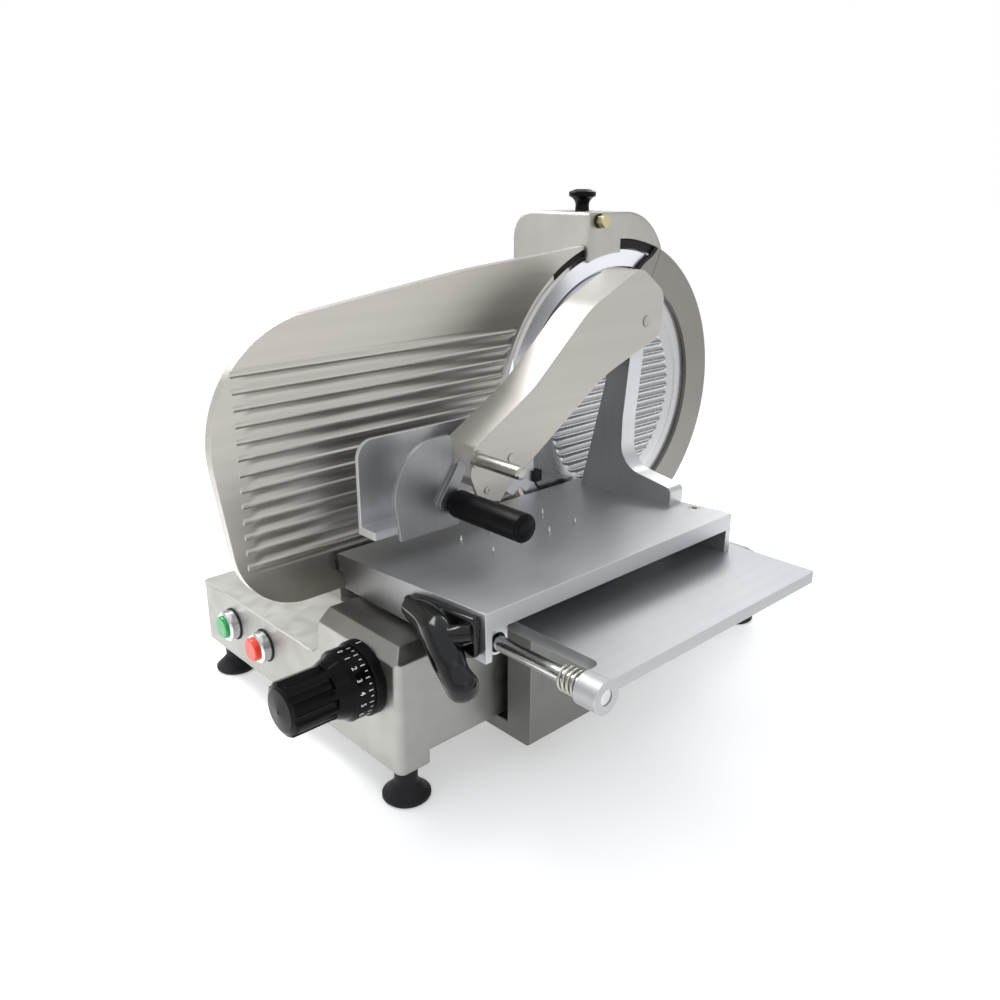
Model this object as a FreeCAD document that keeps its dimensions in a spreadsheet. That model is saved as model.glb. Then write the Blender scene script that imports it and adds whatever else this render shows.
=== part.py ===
import FreeCAD, Part
import math
import os
from types import SimpleNamespace

import Sketcher
from FreeCAD import Placement, Rotation, Vector

# Straight-feed vertical slicer, millimetres and degrees.
#
# Machine axes: the blade turns about X and its flat face lies in the plane x = 0, its axis at
# y = 0. The product stands on the +X side, the operator at -Y, the floor is z = 0. Every
# sub-part is drawn in those axes, and its Placement moves it to the part's own frame, whose
# origin is the middle of the footprint on the floor.

SIZES = {
    # base casting
    "base_left": -216, "base_right": 153, "base_front": -450, "base_rear": 130,
    "base_bottom": 54, "pad_bottom": 40, "base_top": 111, "block_top": 161.5, "block_left": 33,
    "block_slant": 7, "block_blend": 18, "block_chamfer": 12, "block_wall": 7, "block_roof": 14.5,
    "block_rear": 30, "slope_start": 90, "slope_low": 87,
    "base_wall": 5, "pad_side": 33, "base_round": 7, "cover_sheet": 2,
    # feet
    "foot_radius": 23, "foot_neck": 11, "foot_flange": 9, "foot_cone": 17, "foot_inset": 21,
    "stud_radius": 4, "stud_above": 14, "stud_below": 12,
    # push buttons
    "start_x": -147, "stop_x": -79.5, "button_z": 81, "button_radius": 12.5, "bezel_radius": 16.5,
    "bezel_neck": 14.5, "bezel_depth": 20, "bezel_proud": 12, "button_proud": 16, "stop_extra": 2,
    "button_travel": 4, "button_gap": 0.3, "contact_side": 30, "contact_depth": 34,
    # thickness knob, dial, shaft and spiral cam
    "knob_x": 103, "knob_z": 122, "dial_radius": 33, "dial_width": 19, "grip_radius": 25,
    "grip_length": 58.5, "flute_radius": 7, "flute_depth": 3, "flutes": 8, "knob_flare": 13,
    "shaft_radius": 7, "knob_gap": 1, "collar_width": 9.5, "collar_radius": 35,
    "bush_radius": 12, "bush_length": 22,
    "running_gap": 0.05, "shaft_grip": 32, "cam_start": 12, "cam_width": 10, "cam_turn": 300,
    "cam_y": -345, "shaft_rear": -330, "gauge_travel": 15, "follower_gap": 0.6,
    "cam_room": 3, "cam_hub": 10, "cam_relief": 40,
    # gauge plate, its slide bars and guide block
    "gauge_thick": 10, "gauge_bottom": 159, "gauge_low_y": -504, "gauge_high_y": -538.5,
    "gauge_mid_y": -230, "gauge_end_y": -57, "gauge_over_blade": 6.5, "gauge_mid_drop": 14.5,
    "gauge_high_drop": 55.5, "gauge_low_round": 72, "gauge_high_round": 115,
    "gauge_blade_gap": 3, "plate_bevel": 8, "plate_bevel_depth": 3, "gauge_rib_start": -500,
    "gauge_rib_low": 209, "gauge_rib_pitch": 14.8,
    "gauge_ribs": 13, "gauge_rib_height": 1, "gauge_rib_width": 6, "gauge_rib_margin": 12,
    "channel_rise": 12, "channel_depth": 3, "channel_start": 107, "channel_end": 125,
    "bar_radius": 6, "bar_z": 122, "bar_room": 0.5, "rear_bar_y": -205, "bar_end": -150,
    "guide_left": -142, "guide_right": -62, "guide_top": 136, "guide_bush": 9,
    "guide_bush_length": 24, "guide_side": 20, "bracket_depth": 24, "bracket_top": 300,
    "bracket_web": 8, "bracket_side": 18, "clamp_radius": 9, "screw_inset": 12,
    # blade, cover disc, ring guard
    "blade_floor": 4, "blade_radius": 175, "blade_thick": 12, "blade_recess": 4.5,
    "blade_edge": 0.8, "bevel_width": 25, "cover_step": 120, "cover_drop": 1.3,
    "cover_room": 2, "blade_rim": 23, "cover_gap": 1.2, "cover_thick": 3.6,
    "cover_rib_pitch": 11.4, "cover_ribs": 17, "cover_rib_radius": 108, "cover_rib_height": 1.4,
    "cover_rib_width": 4,
    "ring_room": 13, "ring_lap": 6, "ring_thick": 2.4, "ring_front": 4.4, "ring_lip_gap": 0.5,
    "ring_start": 66, "ring_end": -58, "ring_flange": 4, "ring_flange_start": 62,
    "ring_flange_rear": -22, "ring_tab_inset": 3.62482, "ring_tab_width": 10, "ring_tab_lap": 2,
    "hub_radius": 58, "hub_thick": 10, "spindle_radius": 14, "spindle_bore": 6.2,
    "spindle_rear": -106, "blade_bore": 22, "blade_screw_circle": 42, "screw_radius": 3,
    "screw_head": 5.2, "screw_head_depth": 3.5, "screw_reach": 12, "blade_screws": 4,
    "bearing_outer": 26, "bearing_width": 14, "front_bearing_x": -44, "rear_bearing_x": -84,
    "bearing_shoulder": 4, "pulley_radius": 42, "pulley_width": 16, "pulley_x": -105,
    "pulley_lip": 2,
    "tie_radius": 4, "tie_knob_radius": 15, "tie_knob_length": 20,
    # tower
    "tower_left": -117, "tower_front": -55, "tower_rear": 85, "tower_over_blade": 42,
    "tower_face": 4, "tower_wall": 6, "tower_back_round": 77, "tower_side_round": 32,
    "tower_roof": 23, "blade_clearance": 7, "blade_lap": 3, "wheel_wall_x": -26, "tower_lip": 3,
    "window_rise": 12.5, "window_end": 67, "bearing_wall": 8, "ring_seat": 2,
    # sharpener and its bolt
    "sharpener_x": -48, "sharpener_y": -10, "sharpener_rod": 5, "sharpener_stem": 8.5,
    "sharpener_head": 16, "sharpener_height": 24.5, "sharpener_travel": 8,
    "stone_radius": 11, "stone_thick": 6, "stone_gap": 1.2, "stone_rise": 3,
    "carrier_height": 12, "carrier_left": -56, "carrier_side": 12, "carrier_room": 2,
    "bolt_y": -38, "bolt_drop": 9, "bolt_radius": 4, "bolt_head": 6.5, "bolt_head_length": 9,
    "bolt_reach": 20, "washer_radius": 8, "washer_thick": 2,
    # motor
    "motor_y": 20, "motor_z": 185, "motor_radius": 46, "motor_length": 76, "motor_shaft": 7,
    "motor_shaft_inside": 60, "motor_pulley": 14, "motor_cover_left": -208,
    "motor_cover_front": -48, "motor_cover_rear": 82, "motor_cover_top": 252,
    "motor_cover_wall": 3, "motor_cover_round": 18, "belt_thick": 3, "belt_gap": 0.3,
    # carriage: guide rod, arm, tray
    "rod_x": 125, "rod_z": 72, "rod_radius": 10, "rod_seat": 3, "bearing_block_half": 18,
    "bearing_block_top": 92, "bearing_bush": 13, "bush_share": 24, "arm_front": -330.6,
    "arm_rear": -243, "arm_left": 165, "arm_right": 196, "arm_bottom": 37, "arm_toe_bevel": 8,
    "toe_top": 51.5,
    "slide_pad_thick": 4, "rail_left": 90, "rail_right": 102, "rail_bottom": 66, "rail_top": 74,
    "pad_clearance": 0.3,
    "tray_left": 156, "tray_right": 312, "tray_front": -342, "tray_rear": -44, "tray_top": 170,
    "tray_thick": 12, "boss_left": 289, "slide_rod_y": -362, "slide_rod_z": 156,
    "slide_rod_radius": 7, "boss_radius": 15, "left_lug": 13,
    "spring_wire": 1.6, "spring_radius": 10.5, "spring_left": 266, "spring_turns": 4,
    # table
    "table_left": 5.5, "table_right": 221.5, "table_front": -409, "table_rear": -61,
    "table_high": 212.1, "table_slope": 0.059, "table_thick": 17.5, "apron_bottom": 166.5,
    "apron_thick": 7, "apron_left": 16, "leg_thick": 8, "leg_left": 150, "slide_gap": 0.3,
    "table_lug_left": 169.5, "table_lug_right": 185, "table_bush": 9.5,
    "table_screw_head": 6.5, "table_screw_depth": 6,
    "screw_hole_x": 181, "screw_hole_y": -70.5,
    # spikes
    "spike_x": 76, "spike_y": -310, "spike_pitch_x": 47, "spike_pitch_y": 38, "spikes": 4,
    "spike_seat": 4, "spike_radius": 1.4, "spike_height": 9, "spike_point": 5, "spike_tip": 0.2,
    # push handle
    "handle_left": 113, "handle_width": 84, "handle_high": 203, "handle_low": 172,
    "handle_plate": 12, "handle_shoulder": 24, "handle_toe": 40, "handle_toe_drop": 18,
    "neck_out": 2, "neck_forward": 15, "neck_radius": 11.5, "grip_out": 13, "grip_forward": 12,
    "grip_drop": 45, "grip_thick": 18,
    # column and arm
    "column_front": -79, "column_depth": 22, "column_foot_left": 25, "column_foot_right": 155,
    "column_waist": 84, "column_foot_height": 18,
    "column_blend": 30, "column_foot_rise": 16, "column_bend_z": 290, "pivot_y": -59,
    "pivot_z": 398, "pivot_radius": 6, "pivot_boss": 17,
    "lever_left": 53, "lever_right": 95, "lever_wall": 4, "lever_side_gap": 0.4,
    "lift_pin_y": -304, "lift_pin_z": 293, "lift_pin_radius": 5, "lift_pin_end": 156,
    "lift_grip_radius": 6.5, "lift_flange": 2, "arm_nose_y": -313, "arm_nose_low": 276,
    "arm_nose_high": 305, "arm_nose_back": 4, "arm_knee_y": -232, "arm_knee_z": 349,
    "arm_shoulder_y": -152, "arm_shoulder_z": 419, "arm_head_y": -72, "arm_head_z": 456,
    "arm_back_y": -31, "arm_back_z": 427, "arm_heel_y": -34, "arm_heel_z": 380,
    "arm_belly_y": -124, "arm_belly_z": 349, "arm_elbow_y": -266, "arm_elbow_z": 255,
    "arm_chin_y": -275, "arm_chin_z": 244, "arm_lip_y": -303, "arm_lip_z": 253,
    "arm_bow": 120, "arm_belly_bow": 150, "arm_round": 18, "arm_open": 200,
    "arm_hollow_past": 31,
    # presser
    "float_y": -260, "float_z": 285.5, "float_radius": 4.5, "plate_x": 34, "plate_thick": 4,
    "plate_front": -401, "plate_rear": -172, "plate_top": 317, "plate_low": 226,
    "flange_right": 60, "flange_thick": 8, "tooth_height": 7, "teeth": 11,
    "guard_x": 84, "guard_thick": 4, "guard_rear": -322, "guard_low": 231, "guard_high": 321,
    "guard_lean": 9, "guard_crown_y": -380, "guard_front": -398, "guard_waist_z": 275,
    "guard_tip_y": -391, "guard_bow": 45, "link_y": -322, "link_z": 289, "link_radius": 5.5,
    "link_end_y": -342, "link_end_z": 257, "link_end_radius": 7.5, "grip_axis_y": -330,
    "grip_axis_z": 255.5,
    "grip_bar_radius": 13.5, "grip_bar_end": 187, "grip_rod": 6, "guard_hub": 5,
    "lug_width": 12,
    # electrics
    "box_left": -190, "box_width": 90, "box_front": -330, "box_depth": 120, "box_height": 38,
    "gland_z": 82, "gland_x": -150, "gland_bore": 4, "gland_neck": 8, "gland_radius": 12,
    "gland_proud": 14,
}


class Size:
    """A number together with the sheet formula that gives it."""

    def __init__(self, value, formula):
        self.value = float(value)
        self.formula = formula

    def __add__(self, other):
        other = size(other)
        return Size(self.value + other.value, f"({self.formula} + {other.formula})")

    def __sub__(self, other):
        other = size(other)
        return Size(self.value - other.value, f"({self.formula} - {other.formula})")

    def __mul__(self, other):
        other = size(other)
        return Size(self.value * other.value, f"({self.formula} * {other.formula})")

    def __truediv__(self, other):
        other = size(other)
        return Size(self.value / other.value, f"({self.formula} / {other.formula})")

    def __radd__(self, other):
        return size(other) + self

    def __rsub__(self, other):
        return size(other) - self

    def __rmul__(self, other):
        return size(other) * self

    def __neg__(self):
        return size(0) - self

    def __float__(self):
        return self.value


def size(number):
    """Take a plain number as a Size."""
    if isinstance(number, Size):
        return number
    return Size(number, f"({float(number)!r})")


def cosine(angle):
    """Cosine of an angle in degrees."""
    return Size(math.cos(math.radians(angle.value)), f"cos({angle.formula})")


def sine(angle):
    """Sine of an angle in degrees."""
    return Size(math.sin(math.radians(angle.value)), f"sin({angle.formula})")


doc = FreeCAD.newDocument("Slicer")


def make_sheet():
    """Write the driving sizes to a spreadsheet and return them by name."""
    sheet = doc.addObject("Spreadsheet::Sheet", "Sizes")
    cells = {}
    for row, (alias, value) in enumerate(SIZES.items(), start=1):
        sheet.set(f"A{row}", alias)
        sheet.set(f"B{row}", str(value))
        sheet.setAlias(f"B{row}", alias)
        cells[alias] = Size(value, f"Sizes.{alias}")
    doc.recompute()
    return SimpleNamespace(**cells)


d = make_sheet()

# The footprint reaches from the base to the tray, and from the knob's end to the ring guard.
knob_end = d.base_front - d.collar_width - d.knob_gap - d.dial_width - d.grip_length
left_end = d.base_left + d.foot_inset - d.foot_radius
origin_x = (left_end + d.tray_right) / -2
blade_z = d.base_top + d.blade_floor + d.blade_radius
ring_outer = d.blade_radius + d.ring_room
cover_radius = d.blade_radius - d.blade_rim
ring_inner = cover_radius - d.ring_lap
blade_top = blade_z + d.blade_radius
tower_top = blade_top + d.tower_over_blade
tower_cut = d.blade_radius - d.blade_lap
bolt_z = tower_top - d.bolt_drop
stone_z = blade_top + d.stone_rise
origin_y = (knob_end + ring_outer) / -2
nodes = []

PLANES = {"X": ("YZ_Plane", 1), "Y": ("XZ_Plane", -1), "Z": ("XY_Plane", 1)}


def bind(thing, path, amount):
    """Drive a property from the sheet."""
    thing.setExpression(path, size(amount).formula)


def place(thing, name):
    """Name a sub-part and move it from the machine axes to the part's frame."""
    thing.Label = name
    bind(thing, "Placement.Base.x", origin_x)
    bind(thing, "Placement.Base.y", origin_y)
    nodes.append(thing)
    return thing


def new_body(name):
    """A body for one sub-part."""
    return place(doc.addObject("PartDesign::Body", name), name)


def new_sketch(body, axis, level, shift=(0, 0)):
    """A sketch square to an axis: it sees Y,Z along X, X,Z along Y and X,Y along Z."""
    role, sign = PLANES[axis]
    sketch = body.newObject("Sketcher::SketchObject", f"{body.Name}_sketch")
    plane = [item for item in body.Origin.OriginFeatures if item.Role == role][0]
    sketch.AttachmentSupport = [(plane, "")]
    sketch.MapMode = "FlatFace"
    bind(sketch, "AttachmentOffset.Base.x", shift[0])
    bind(sketch, "AttachmentOffset.Base.y", shift[1])
    bind(sketch, "AttachmentOffset.Base.z", size(level) * sign)
    return sketch


def hold(sketch, rules):
    """Add constraints, each (kind, arguments, Size or None), and bind their values."""
    made = []
    for kind, where, amount in rules:
        values = list(where)
        if amount is not None:
            value = size(amount).value
            values.append(math.radians(value) if kind == "Angle" else value)
        made.append(Sketcher.Constraint(kind, *values))
    first = sketch.ConstraintCount
    sketch.addConstraint(made)
    for number, (kind, where, amount) in enumerate(rules):
        if amount is not None:
            unit = " * 1 deg" if kind == "Angle" else ""
            sketch.setExpression(f"Constraints[{first + number}]", size(amount).formula + unit)


def pin_point(index, position, u, v):
    """Rules that hold one point by its distances from the sketch's origin."""
    return [("DistanceX", (-1, 1, index, position), u), ("DistanceY", (-1, 1, index, position), v)]


def outline(sketch, corners):
    """A closed outline through corners (u, v) or (u, v, rounding radius)."""
    count = len(corners)
    spots = [Vector(float(c[0]), float(c[1]), 0) for c in corners]
    starts, ends, arcs = [], [], []
    for number, corner in enumerate(corners):
        spot = spots[number]
        before = (spots[number - 1] - spot).normalize()
        after = (spots[(number + 1) % count] - spot).normalize()
        if len(corner) == 2:
            starts.append(spot)
            ends.append(spot)
            arcs.append(None)
            continue
        half = before.getAngle(after) / 2
        radius = float(corner[2])
        middle = (before + after).normalize()
        centre = spot + middle * (radius / math.sin(half))
        enter = spot + before * (radius / math.tan(half))
        leave = spot + after * (radius / math.tan(half))
        starts.append(leave)
        ends.append(enter)
        turns_left = before.cross(after).z < 0
        arcs.append((Part.Arc(enter, centre - middle * radius, leave), turns_left))
    lines = [sketch.addGeometry(Part.LineSegment(starts[number], ends[(number + 1) % count]))
             for number in range(count)]
    rules = []
    for number, corner in enumerate(corners):
        line_in, line_out = lines[number - 1], lines[number]
        if arcs[number] is None:
            rules.append(("Coincident", (line_in, 2, line_out, 1), None))
            rules += pin_point(line_out, 1, corner[0], corner[1])
            continue
        shape, turns_left = arcs[number]
        arc = sketch.addGeometry(shape)
        first, last = (1, 2) if turns_left else (2, 1)
        spot = sketch.addGeometry(Part.Point(spots[number]), True)
        rules.append(("Tangent", (line_in, 2, arc, first), None))
        rules.append(("Tangent", (arc, last, line_out, 1), None))
        rules.append(("Radius", (arc,), corner[2]))
        rules.append(("PointOnObject", (spot, 1, line_in), None))
        rules.append(("PointOnObject", (spot, 1, line_out), None))
        rules += pin_point(spot, 1, corner[0], corner[1])
    hold(sketch, rules)
    return sketch


def box_outline(sketch, low_u, high_u, low_v, high_v):
    """A rectangle."""
    return outline(sketch, [(low_u, low_v), (high_u, low_v), (high_u, high_v), (low_u, high_v)])


def circle(sketch, u, v, radius):
    """A circle held by its centre and radius."""
    index = sketch.addGeometry(Part.Circle(Vector(float(u), float(v), 0), Vector(0, 0, 1),
                                           float(radius)))
    hold(sketch, pin_point(index, 3, u, v) + [("Radius", (index,), radius)])
    return sketch


def sector(sketch, u, v, inner, outer, start, end):
    """Part of a ring between two angles in degrees."""
    centre = Vector(float(u), float(v), 0)
    low, high = math.radians(float(start)), math.radians(float(end))
    arcs = [sketch.addGeometry(Part.ArcOfCircle(Part.Circle(centre, Vector(0, 0, 1), float(radius)),
                                                low, high)) for radius in (inner, outer)]
    rays = []
    for angle in (low, high):
        ray = Vector(math.cos(angle), math.sin(angle), 0)
        rays.append(sketch.addGeometry(Part.LineSegment(centre + ray * float(inner),
                                                        centre + ray * float(outer))))
    rules = pin_point(arcs[0], 3, u, v)
    rules.append(("Coincident", (arcs[0], 3, arcs[1], 3), None))
    rules += [("Radius", (arcs[0],), inner), ("Radius", (arcs[1],), outer)]
    for number, (ray, angle) in enumerate(zip(rays, (start, end))):
        rules.append(("Coincident", (ray, 1, arcs[0], number + 1), None))
        rules.append(("Coincident", (ray, 2, arcs[1], number + 1), None))
        rules.append(("PointOnObject", (arcs[0], 3, ray), None))
        rules.append(("Angle", (-1, 1, ray, 1), angle))
    hold(sketch, rules)
    return sketch


def ring(sketch, u, v, inner, outer):
    """A whole ring."""
    circle(sketch, u, v, inner)
    return circle(sketch, u, v, outer)


def circles(sketch, spots, radius):
    """Equal circles at several places."""
    for u, v in spots:
        circle(sketch, u, v, radius)
    return sketch


def corner_waste(sketch, u, v, radius):
    """What a rounding takes off a corner that points up and to the right."""
    low_u, low_v = u - radius, v - radius
    centre = Vector(float(low_u), float(low_v), 0)
    rounding = sketch.addGeometry(Part.ArcOfCircle(
        Part.Circle(centre, Vector(0, 0, 1), float(radius)), 0, math.pi / 2))
    tip = Vector(float(u), float(v), 0)
    side = sketch.addGeometry(Part.LineSegment(Vector(float(u), float(low_v), 0), tip))
    top = sketch.addGeometry(Part.LineSegment(tip, Vector(float(low_u), float(v), 0)))
    rules = pin_point(rounding, 3, low_u, low_v) + pin_point(side, 2, u, v)
    rules += [("Vertical", (side,), None), ("Coincident", (side, 2, top, 1), None)]
    rules += [("Tangent", (rounding, 1, side, 1), None), ("Tangent", (rounding, 2, top, 2), None)]
    hold(sketch, rules)
    return sketch


def loop(sketch, first, first_radius, second, second_radius):
    """A belt's line round two circles, first above second."""
    spots = [Vector(float(spot[0]), float(spot[1]), 0) for spot in (first, second)]
    radii = [float(first_radius), float(second_radius)]
    span = spots[1] - spots[0]
    heading = math.atan2(span.y, span.x)
    lean = math.acos((radii[0] - radii[1]) / span.Length)
    rounds = []
    for number in (0, 1):
        low, high = heading - lean, heading + lean
        if number == 0:
            low, high = high, low + 2 * math.pi
        round_ = Part.Circle(spots[number], Vector(0, 0, 1), radii[number])
        rounds.append(sketch.addGeometry(Part.ArcOfCircle(round_, low, high)))
    sides = []
    for turn in (lean, -lean):
        ray = Vector(math.cos(heading + turn), math.sin(heading + turn), 0)
        sides.append(sketch.addGeometry(Part.LineSegment(spots[0] + ray * radii[0],
                                                         spots[1] + ray * radii[1])))
    rules = pin_point(rounds[0], 3, *first) + pin_point(rounds[1], 3, *second)
    rules += [("Radius", (rounds[0],), first_radius), ("Radius", (rounds[1],), second_radius)]
    rules += [("Tangent", (sides[0], 1, rounds[0], 1), None)]
    rules += [("Tangent", (sides[0], 2, rounds[1], 2), None)]
    rules += [("Tangent", (sides[1], 1, rounds[0], 2), None)]
    rules += [("Tangent", (sides[1], 2, rounds[1], 1), None)]
    hold(sketch, rules)
    return sketch


def sized(body, kind, sketch, axis, start, end):
    """A Pad or Pocket of a sketch at `start` that reaches to `end` along the axis."""
    feature = body.newObject(kind, f"{body.Name}_{kind.split('::')[1].lower()}")
    feature.Profile = sketch
    forward = float(end) > float(start)
    length = (size(end) - start) if forward else (size(start) - end)
    bind(feature, "Length", length)
    along = forward if PLANES[axis][1] > 0 else not forward
    feature.Reversed = (not along) if kind.endswith("Pad") else along
    sketch.Visibility = False
    return feature


def pad(body, axis, start, end, draw, *amounts, shift=(0, 0)):
    """Draw an outline square to an axis and pad it from start to end."""
    sketch = new_sketch(body, axis, start, shift)
    draw(sketch, *amounts)
    return sized(body, "PartDesign::Pad", sketch, axis, start, end)


def pocket(body, axis, start, end, draw, *amounts, shift=(0, 0)):
    """Draw an outline square to an axis and cut it from start to end."""
    sketch = new_sketch(body, axis, start, shift)
    draw(sketch, *amounts)
    return sized(body, "PartDesign::Pocket", sketch, axis, start, end)


def turned(body, axis, centre, profile, kind="Revolution", turn=360):
    """Turn a profile of (along the axis, radius) corners about an axis through centre."""
    if axis == "X":
        sketch = new_sketch(body, "Y", centre[0], (0, centre[1]))
    elif axis == "Y":
        sketch = new_sketch(body, "X", centre[0], (0, centre[1]))
    else:
        sketch = new_sketch(body, "Y", centre[1], (centre[0], 0))
    swap = axis == "Z"
    corners = [((c[1], c[0]) if swap else (c[0], c[1])) + tuple(c[2:]) for c in profile]
    outline(sketch, corners)
    feature = body.newObject(f"PartDesign::{kind}", f"{body.Name}_{kind.lower()}")
    feature.Profile = sketch
    feature.ReferenceAxis = (sketch, ["V_Axis" if swap else "H_Axis"])
    feature.Angle = turn
    sketch.Visibility = False
    return feature


def edges_at(body, test):
    """Names of the body's edges whose middle point passes a test."""
    doc.recompute()
    names = []
    for number, edge in enumerate(body.Tip.Shape.Edges, start=1):
        middle = edge.valueAt((edge.FirstParameter + edge.LastParameter) / 2)
        if test(middle, edge):
            names.append(f"Edge{number}")
    return names


def soften(body, kind, amount, test):
    """Fillet or chamfer the edges that pass a test."""
    base = body.Tip
    names = edges_at(body, test)
    feature = body.newObject(f"PartDesign::{kind}", f"{body.Name}_{kind.lower()}")
    feature.Base = (base, names)
    bind(feature, "Radius" if kind == "Fillet" else "Size", amount)
    return feature


def repeat(body, feature, axis_name, pitch, count):
    """Copy a feature along one of its sketch's axes."""
    pattern = body.newObject("PartDesign::LinearPattern", f"{body.Name}_row")
    pattern.Originals = [feature]
    pattern.Direction = (feature.Profile[0], [axis_name])
    bind(pattern, "Length", size(pitch) * (size(count) - 1))
    bind(pattern, "Occurrences", count)
    body.Tip = pattern
    return pattern


def repeat_round(body, feature, count):
    """Copy a feature round the normal of its sketch."""
    pattern = body.newObject("PartDesign::PolarPattern", f"{body.Name}_ring")
    pattern.Originals = [feature]
    pattern.Axis = (feature.Profile[0], ["N_Axis"])
    pattern.Angle = 360
    bind(pattern, "Occurrences", count)
    body.Tip = pattern
    return pattern


def near(a, b, room=0.05):
    """Two lengths are the same."""
    return abs(float(a) - float(b)) < room


def is_along(edge, direction):
    """A straight edge runs along a direction."""
    if not isinstance(edge.Curve, Part.Line):
        return False
    return abs(abs(edge.Curve.Direction.dot(direction)) - 1) < 1e-6


ALONG_X, ALONG_Y, ALONG_Z = Vector(1, 0, 0), Vector(0, 1, 0), Vector(0, 0, 1)

fit = d.running_gap
inner_left = d.base_left + d.base_wall
inner_right = d.base_right - d.base_wall
inner_front = d.base_front + d.base_wall
inner_rear = d.base_rear - d.base_wall
post_left = d.base_left + d.pad_side
post_right = d.base_right - d.pad_side
post_front = d.base_front + d.pad_side
post_rear = d.base_rear - d.pad_side
foot_spots = [(x, y) for x in (d.base_left + d.foot_inset, d.base_right - d.foot_inset)
              for y in (d.base_front + d.foot_inset, d.base_rear - d.foot_inset)]
button_xs = (d.start_x, d.stop_x)
bar_ys = (d.cam_y, d.rear_bar_y)


# ---------------------------------------------------------------- base and feet

def base_section(sketch):
    """The base seen from the front, with the raised block on its right."""
    return outline(sketch, [
        (d.base_left, d.base_bottom), (d.base_right, d.base_bottom),
        (d.base_right, d.block_top), (d.block_left, d.block_top),
        (d.block_left - d.block_slant, d.base_top, d.block_blend), (d.base_left, d.base_top)])


def base_room(sketch):
    """The room inside the casting, with a post left in each corner."""
    return outline(sketch, [
        (inner_left, post_front), (post_left, post_front), (post_left, inner_front),
        (post_right, inner_front), (post_right, post_front), (inner_right, post_front),
        (inner_right, post_rear), (post_right, post_rear), (post_right, inner_rear),
        (post_left, inner_rear), (post_left, post_rear), (inner_left, post_rear)])


def block_room(sketch):
    """The deeper room inside the raised block."""
    left = d.block_left + d.block_wall
    rear = d.block_rear - d.block_wall
    return outline(sketch, [
        (left, inner_front), (post_right, inner_front), (post_right, post_front),
        (inner_right, post_front), (inner_right, rear), (left, rear)])


def slope_floor(sketch):
    """The sloping wall behind the raised block, seen from the side."""
    fall = (d.base_top - d.slope_low) / (d.base_rear - d.slope_start)
    rear_top = d.slope_low + d.base_wall * fall
    return outline(sketch, [
        (d.slope_start - d.base_wall, d.base_top - d.base_wall),
        (inner_rear, rear_top - d.base_wall), (inner_rear, rear_top), (d.slope_start, d.base_top)])


def make_base_casting():
    """The hollow casting that carries everything."""
    body = new_body("base_casting")
    pad(body, "Y", d.base_front, d.base_rear, base_section)
    for left in (d.base_left, post_right):
        for front in (d.base_front, post_rear):
            pad(body, "Z", d.pad_bottom, d.base_bottom, box_outline,
                left, left + d.pad_side, front, front + d.pad_side)
    pad(body, "Z", d.pad_bottom, d.base_bottom, box_outline, d.base_left, d.base_right,
        d.base_front, inner_front)

    def block_edge(middle, edge):
        if not near(middle.z, d.block_top):
            return False
        on_front = near(middle.y, d.base_front) and is_along(edge, ALONG_X)
        return on_front or (near(middle.x, d.base_right) and is_along(edge, ALONG_Y))

    def upright(middle, edge):
        on_side = near(middle.x, d.base_left) or near(middle.x, d.base_right)
        on_end = near(middle.y, d.base_front) or near(middle.y, d.base_rear)
        return on_side and on_end and is_along(edge, ALONG_Z)

    soften(body, "Chamfer", d.block_chamfer, block_edge)
    soften(body, "Fillet", d.base_round, upright)
    step_left = d.block_left - d.block_slant - d.block_blend
    pocket(body, "Z", d.block_top, d.base_top, box_outline, step_left, d.base_right,
           d.block_rear, d.base_rear)
    pocket(body, "X", step_left, d.base_right, outline, [
        (d.slope_start, d.base_top), (d.base_rear, d.slope_low), (d.base_rear, d.base_top)])
    pocket(body, "Z", d.base_bottom, d.base_top - d.base_wall, base_room)
    pocket(body, "Z", d.base_bottom, d.block_top - d.block_roof, block_room)
    pad(body, "X", step_left - d.base_wall, inner_right, slope_floor)
    pad(body, "X", step_left - d.base_wall, step_left, outline, [
        (d.slope_start - d.base_wall, d.base_top - d.base_wall),
        (inner_rear, d.slope_low - d.base_wall), (inner_rear, d.base_top - d.base_wall)])
    cam_side = d.cam_start + d.gauge_travel + d.cam_room
    cam_half = d.cam_width / 2 + d.cam_room
    pocket(body, "Z", d.base_bottom, d.knob_z + cam_side, box_outline, d.knob_x - cam_side,
           d.knob_x + cam_side, d.cam_y - cam_half, d.cam_y + cam_half)
    for x in button_xs:
        pocket(body, "Y", d.base_front, inner_front, circle, x, d.button_z, d.bezel_neck + fit)
    pocket(body, "Y", d.base_front, inner_front, circle, d.knob_x, d.knob_z, d.bush_radius + fit)
    pocket(body, "Y", d.base_rear, inner_rear, circle, d.gland_x, d.gland_z,
           d.gland_neck + fit)
    pocket(body, "X", d.block_left - d.block_slant - d.block_blend, d.block_left + d.block_wall,
           circle, d.cam_y, d.bar_z, d.bar_radius + d.bar_room)
    pocket(body, "Y", inner_front - d.rod_seat, post_front, circle, d.rod_x, d.rod_z,
           d.rod_radius + fit)
    pocket(body, "Y", inner_rear + d.rod_seat, post_rear, circle, d.rod_x, d.rod_z,
           d.rod_radius + fit)
    pocket(body, "Z", d.pad_bottom, d.pad_bottom + d.stud_above, circles, foot_spots,
           d.stud_radius + fit)


def make_bottom_cover():
    """The sheet that closes the casting's underside beside the carriage's slot."""
    body = new_body("bottom_cover")
    right = d.rail_left - d.cover_sheet
    corners = [(inner_left, post_front), (post_left, post_front), (post_left, inner_front),
               (right, inner_front), (right, inner_rear), (post_left, inner_rear),
               (post_left, post_rear), (inner_left, post_rear)]
    pad(body, "Z", d.base_bottom, d.base_bottom + d.cover_sheet, outline, corners)


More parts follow.
